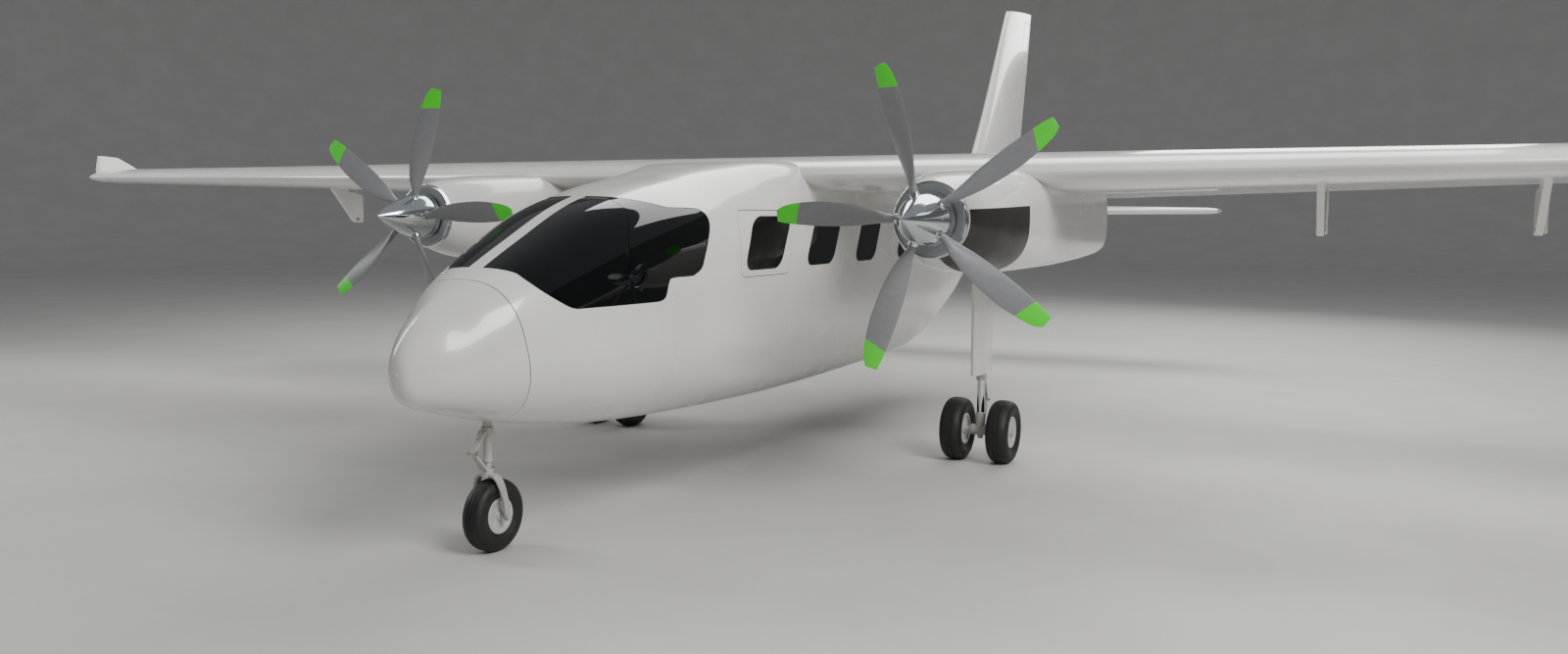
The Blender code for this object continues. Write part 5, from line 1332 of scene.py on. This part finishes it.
def rim_skin(centre, size, bore):
    """Plain rim with an almost flush painted face, a shallow step and a low hub."""
    _, width, rim_radius = size
    hub, axle = bore
    bead = width * BEAD_SHARE + TRIM_GAP
    half = ((axle + TRIM_GAP, bead + 0.006), (hub - 0.002, bead + 0.006), (hub, bead + 0.004),
            (hub, bead - 0.004), (hub + 0.003, bead - 0.006), (rim_radius - 0.022, bead - 0.005),
            (rim_radius - 0.018, bead - 0.002), (rim_radius - 0.014, bead + 0.003),
            (rim_radius - 0.010, bead + 0.0046), (rim_radius + 0.004, bead + 0.005),
            (rim_radius + 0.006, bead + 0.003), (rim_radius + 0.006, bead),
            (rim_radius, bead - 0.001))
    profile = [(ring_radius, -along) for ring_radius, along in half]
    profile += [(ring_radius, along) for ring_radius, along in reversed(half)]
    return turned(profile, centre, (1, 0, 0), WHEEL_STEPS)


def plate(outline, start, end, holes=()):
    """A flat link in a plane that holds x: outline points are (across, share of the way to end)."""
    thickness, edge = LINK_THICKNESS, 0.002
    start, end = Vector(start), Vector(end)
    along = end - start
    normal = along.normalized().cross(Vector((1, 0, 0))).normalized()
    points = [start + along * share + Vector((across, 0, 0)) - normal * thickness / 2
              for across, share in outline]
    shape = prism(points, normal * thickness, edge)
    for share, radius in holes:
        middle = start + along * share
        shape = carve(shape, rod(middle - normal * 0.05, middle + normal * 0.05, radius, 24))
    return shape


def link_outline(first, second):
    """A tapered link with a round end, half widths first and second."""
    steps = 6
    outline = [(-first, 0.0), (-second, 0.96)]
    for step in range(1, steps):
        angle = math.pi * (1 - step / steps)
        outline.append((second * math.cos(angle), 0.96 + 0.08 * math.sin(angle)))
    return outline + [(second, 0.96), (first, 0.0)]


def fork_arch(y, arm_x, crown):
    """The fork's one bar, up from the axle on one side, over the tyre and down on the other."""
    axle_y, axle_z = NOSE_AXLE.y, NOSE_AXLE.z
    half_path = ((arm_x, axle_y, axle_z - 0.022), (arm_x, axle_y - 0.002, 0.225),
                 (arm_x, axle_y - 0.004, 0.260), (arm_x - 0.002, y + 0.020, 0.300),
                 (arm_x - 0.006, y + 0.010, 0.340), (arm_x - 0.024, y + 0.004, 0.382),
                 (arm_x - 0.052, y, crown))
    path = smooth_line(list(half_path) + [(-x, py, z) for x, py, z in reversed(half_path)], 5)

    def fork_point(turn, index):
        before, after = path[max(index - 1, 0)], path[min(index + 1, len(path) - 1)]
        along = (after - before).normalized()
        thick = along.cross(Vector((0, 1, 0))).normalized()
        drop = min(max((path[index].z - axle_z) / 0.16, 0.0), 1.0)
        wide, deep = rounded_point(turn, -0.0105, 0.0105, 0.0150 + 0.0090 * drop, 3.2, 3.2, 0.5)
        end = min(index, len(path) - 1 - index)
        share = (0.55, 0.85, 0.97)[end] if end < 3 else 1.0
        return path[index] + Vector((0, 1, 0)) * wide * share + thick * deep
    return loft(28, range(len(path)), fork_point)


def build_nose_gear():
    """Leg tube, steered fork with its piston and torque links, bolts, axle, rim and tyre."""
    y, crown = NOSE_LEG_Y, FORK_CROWN_Z
    foot_z = NOSE_LEG_FOOT_Z
    leg = gather((rod((0, y, foot_z), (0, y, NOSE_LEG_HEAD_Z), NOSE_LEG_RADIUS, 56, 0.003),
                  ring((0, y, 0), (0, 0, 1), 0.022, 0.0262, foot_z, foot_z + 0.016, 56)))
    finish("nose_leg_tube", leg, "grey gear enamel", "airframe", ["nose_leg"])
    arm_x = NOSE_TYRE[1] / 2 + FORK_TYRE_GAP
    crown_boss = rod((0, y, crown - 0.012), (0, y, crown + 0.035), 0.030, 56, 0.003)
    fork = gather((fork_arch(y, arm_x, crown), crown_boss))
    finish("nose_fork_arch", fork, "grey gear enamel", "nose_steering", ["nose_fork"])
    piston = rod((0, y, crown), (0, y, 0.735), NOSE_PISTON_RADIUS, 48)
    finish("nose_piston", piston, "grey gear enamel", "nose_steering")
    knee = Vector((0, y - 0.108, 0.530))
    foot = Vector((0, y - 0.026, crown + 0.030))
    head = Vector((0, y - 0.030, 0.630))
    links = gather((ring((0, y, 0), (0, 0, 1), 0.0235, 0.0318, 0.613, 0.647, 56),
                    plate(link_outline(0.026, 0.013), head, knee, ((0.42, 0.008),)),
                    plate(link_outline(0.024, 0.013), foot, knee), knee_pin(knee, 0.024)))
    finish("nose_torque_links", links, "grey gear enamel", "nose_steering", ["nose_links"])
    bolts = knee_bolts(knee, 0.024, (-1.0, 1.0))
    for x in (0.0235, 0.012, -0.012, -0.0235):
        bolts.append(hex_bolt((x, y + 0.018, crown + 0.034), (0, 0, 1), 0.0048, 0.007))
    finish("nose_gear_bolts", gather(bolts), "plated fastener", "nose_steering")
    reach = Vector((arm_x + 0.016, 0, 0))
    caps = [rod(NOSE_AXLE - reach, NOSE_AXLE + reach, NOSE_AXLE_RADIUS, 36)]
    for side in (1.0, -1.0):
        cap = NOSE_AXLE + Vector((side * (arm_x + 0.0112), 0, 0))
        caps.append(rod(cap, cap + Vector((side * 0.006, 0, 0)), 0.0135, 36, 0.002))
    finish("nose_axle_pin", gather(caps), "grey gear enamel", "nose_wheel", ["nose_axle"])
    rim = rim_skin(NOSE_AXLE, NOSE_TYRE, NOSE_HUB)
    finish("nose_rim", rim, "grey wheel enamel", "nose_wheel", ["nose_wheel"])
    tyre = tyre_skin(NOSE_AXLE, NOSE_TYRE)
    finish("nose_tyre_cover", tyre, "tyre rubber", "nose_wheel", ["nose_tyre"])


def knee_pin(knee, half):
    """The pin through the knee of the torque links."""
    return rod(knee - Vector((half, 0, 0)), knee + Vector((half, 0, 0)), 0.010, 28)


def knee_bolts(knee, half, sides):
    """The heads at both ends of the pin through the knee of the torque links."""
    return [hex_bolt(knee + Vector((side * half, 0, 0)), (side, 0, 0), 0.009, 0.007)
            for side in sides]


def build_main_gear():
    """Faired leg, piston, strut with its torque links, bolts, and the two wheels on their axle."""
    x, y = MAIN_AXLE.x, MAIN_AXLE.y
    foot_z, height = MAIN_LEG_FOOT_Z, MAIN_LEG_HEAD_Z - MAIN_LEG_FOOT_Z
    rows = [(foot_z, 0.955), (foot_z + 0.0012, 0.985), (foot_z + 0.004, 1.0)]
    rows += [(foot_z + 0.004 + (height - 0.004) * i / 8, 1.0) for i in range(1, 9)]

    def leg_point(turn, row):
        z, share = row
        chord = MAIN_LEG_CHORD * (1.0 + 0.1 * (z - foot_z) / height) * share
        front = Vector((x, y - chord * 0.45, z))
        thickness = MAIN_LEG_THICKNESS * share / chord
        return airfoil_point(turn, front, front + Vector((0, chord, 0)), thickness, up=(1, 0, 0))
    leg = loft(AIRFOIL_COLUMNS, rows, leg_point)
    finish_pair("main_leg_fairing", leg, "gloss white enamel", "airframe", ["main_leg_*"])
    collar = foot_z - 0.050
    piston = rod((x, y, 0.30), (x, y, foot_z), MAIN_PISTON_RADIUS, 56)
    finish_pair("main_piston", piston, "hard chrome", "airframe")
    knee = Vector((x, y + 0.120, 0.420))
    barrel = Vector((0.066, 0, 0))
    head, foot = (x, y + 0.024, collar + 0.025), (x, y + 0.024, 0.262)
    strut = [ring((x, y, 0), (0, 0, 1), 0.0276, 0.035, collar, foot_z - 0.0005, 56, 0.003),
             rod((x, y, MAIN_AXLE.z), (x, y, 0.345), 0.0335, 56, 0.006),
             rod(MAIN_AXLE - barrel, MAIN_AXLE + barrel, 0.038, 56, 0.005),
             rod(MAIN_AXLE - Vector((0, 0, 0.060)), MAIN_AXLE, 0.020, 40, 0.003),
             plate(link_outline(0.024, 0.014), head, knee, ((0.40, 0.008),)),
             plate(link_outline(0.026, 0.014), foot, knee), knee_pin(knee, 0.022)]
    strut = gather(strut)
    finish_pair("main_strut_forging", strut, "grey gear enamel", "airframe", ["main_strut_*"])
    bolts = knee_bolts(knee, 0.022, (1.0, -1.0))
    for turn in range(4):
        angle = math.radians(45 + 90 * turn)
        out = Vector((math.cos(angle), math.sin(angle), 0))
        bolts.append(hex_bolt(Vector((x, y, collar + 0.025)) + out * 0.0345, out, 0.0055, 0.006))
    finish_pair("main_gear_bolts", gather(bolts), "plated fastener", "airframe")
    bead = MAIN_TYRE[1] * BEAD_SHARE
    reach = Vector((MAIN_TYRE_OFFSET + bead + 0.018, 0, 0))
    nuts = [rod(MAIN_AXLE - reach, MAIN_AXLE + reach, MAIN_AXLE_RADIUS, 40)]
    for where, side in (("inner", -1.0), ("outer", 1.0)):
        centre = MAIN_AXLE + Vector((side * MAIN_TYRE_OFFSET, 0, 0))
        tyre = tyre_skin(centre, MAIN_TYRE)
        finish_pair(f"main_tyre_{where}", tyre, "tyre rubber", "main_wheels_*", [f"tyre_{where}_*"])
        rim = rim_skin(centre, MAIN_TYRE, MAIN_HUB)
        finish_pair(f"main_rim_{where}", rim, "grey wheel enamel", "main_wheels_*",
                    [f"wheel_{where}_*"])
        cap = centre + Vector((side * (bead + 0.0063), 0, 0))
        nuts.append(rod(cap, cap + Vector((side * 0.009, 0, 0)), 0.026, 40, 0.004))
    finish_pair("main_axle_pin", gather(nuts), "grey gear enamel", "main_wheels_*", ["main_axle_*"])


# Stage

def softbox(name, place, target, width, height, power):
    """A large soft lamp that the camera doesn't see."""
    light = bpy.data.lights.new(name, "AREA")
    light.shape = "RECTANGLE"
    light.size, light.size_y = width, height
    light.energy = power
    item = bpy.data.objects.new(name, light)
    item.visible_camera = False
    bpy.context.scene.collection.objects.link(item)
    item.location = place
    item.rotation_euler = (Vector(target) - Vector(place)).to_track_quat("-Z", "Y").to_euler()


def build_stage():
    """A pale round floor that rises into a wall far away, soft boxes and the photo's camera."""
    profile = [(0.0, 0.0), (FLOOR_RADIUS, 0.0)]
    for degrees in range(5, 86, 5):
        angle = math.radians(degrees)
        profile.append((FLOOR_RADIUS + WALL_BEND_RADIUS * math.sin(angle),
                        WALL_BEND_RADIUS * (1 - math.cos(angle))))
    profile.append((FLOOR_RADIUS + WALL_BEND_RADIUS + 0.2, 30.0))
    shape = bmesh.new()
    points = [shape.verts.new((radius, 0.0, height)) for radius, height in profile]
    edges = [shape.edges.new(pair) for pair in zip(points, points[1:])]
    bmesh.ops.spin(shape, geom=points + edges, cent=(0, 0, 0), axis=(0, 0, 1), angle=math.tau,
                   steps=128, use_merge=True)
    bmesh.ops.remove_doubles(shape, verts=shape.verts, dist=0.0001)
    bmesh.ops.recalc_face_normals(shape, faces=shape.faces)
    bmesh.ops.reverse_faces(shape, faces=shape.faces)
    mesh = bpy.data.meshes.new("studio_floor")
    shape.to_mesh(mesh)
    shape.free()
    mesh.shade_smooth()
    make_plain("studio floor paint", "#C9C8C5", "#C3C2BF", (0.55, 0.65), 900.0, 0.0, 0.02, 0.2)
    mesh.materials.append(SURFACES["studio floor paint"])
    floor = bpy.data.objects.new("studio_floor", mesh)
    bpy.context.scene.collection.objects.link(floor)

    softbox("key_box", (9.0, -7.0, 8.0), (0.5, -1.0, 1.4), 5.0, 5.0, 1150.0)
    softbox("overhead_box", (0.0, 4.5, 9.5), (0.0, -0.5, 1.0), 11.0, 5.0, 850.0)
    softbox("far_strip", (-9.0, -5.0, 6.2), (0.0, -1.0, 1.5), 1.6, 6.5, 350.0)
    softbox("tail_box", (3.0, 11.0, 6.0), (0.0, 3.0, 1.8), 6.0, 3.0, 350.0)
    world = bpy.data.worlds.new("studio")
    world.use_nodes = True
    background = world.node_tree.nodes["Background"]
    fill(world.node_tree, background, Color="#D5D8DC", Strength=0.42)
    bpy.context.scene.world = world

    camera = bpy.data.cameras.new("photo_camera")
    camera.lens = FOCAL_LENGTH_PIXELS * SENSOR_WIDTH / PHOTO_WIDTH_PIXELS
    camera.sensor_width = SENSOR_WIDTH
    camera.clip_end = 200.0
    item = bpy.data.objects.new("photo_camera", camera)
    turn = (Matrix.Rotation(math.radians(CAMERA_YAW), 4, "Z")
            @ Matrix.Rotation(math.radians(90.0 + CAMERA_PITCH), 4, "X")
            @ Matrix.Rotation(math.radians(CAMERA_ROLL), 4, "Z"))
    item.matrix_world = Matrix.Translation(CAMERA_PLACE) @ turn
    bpy.context.scene.collection.objects.link(item)
    bpy.context.scene.camera = item


def dress_engines():
    """Give the plain engine blocks, hidden in the nacelles, the look of a casting."""
    for side, _ in SIDES:
        engine = frame["nodes"][f"engine_{side}"]
        for slot in engine.material_slots:
            slot.material = SURFACES["engine casting"]


for default in ("Cube", "Light", "Camera"):
    if default in bpy.data.objects:
        bpy.data.objects.remove(bpy.data.objects[default], do_unlink=True)
build_stage()
make_surfaces()
dress_engines()
build_fuselage()
build_glazing()
build_cabin_windows()
build_door()
build_wings()
build_winglets()
build_fin()
build_tailplane()
build_nacelles()
build_propellers()
build_nose_gear()
build_main_gear()
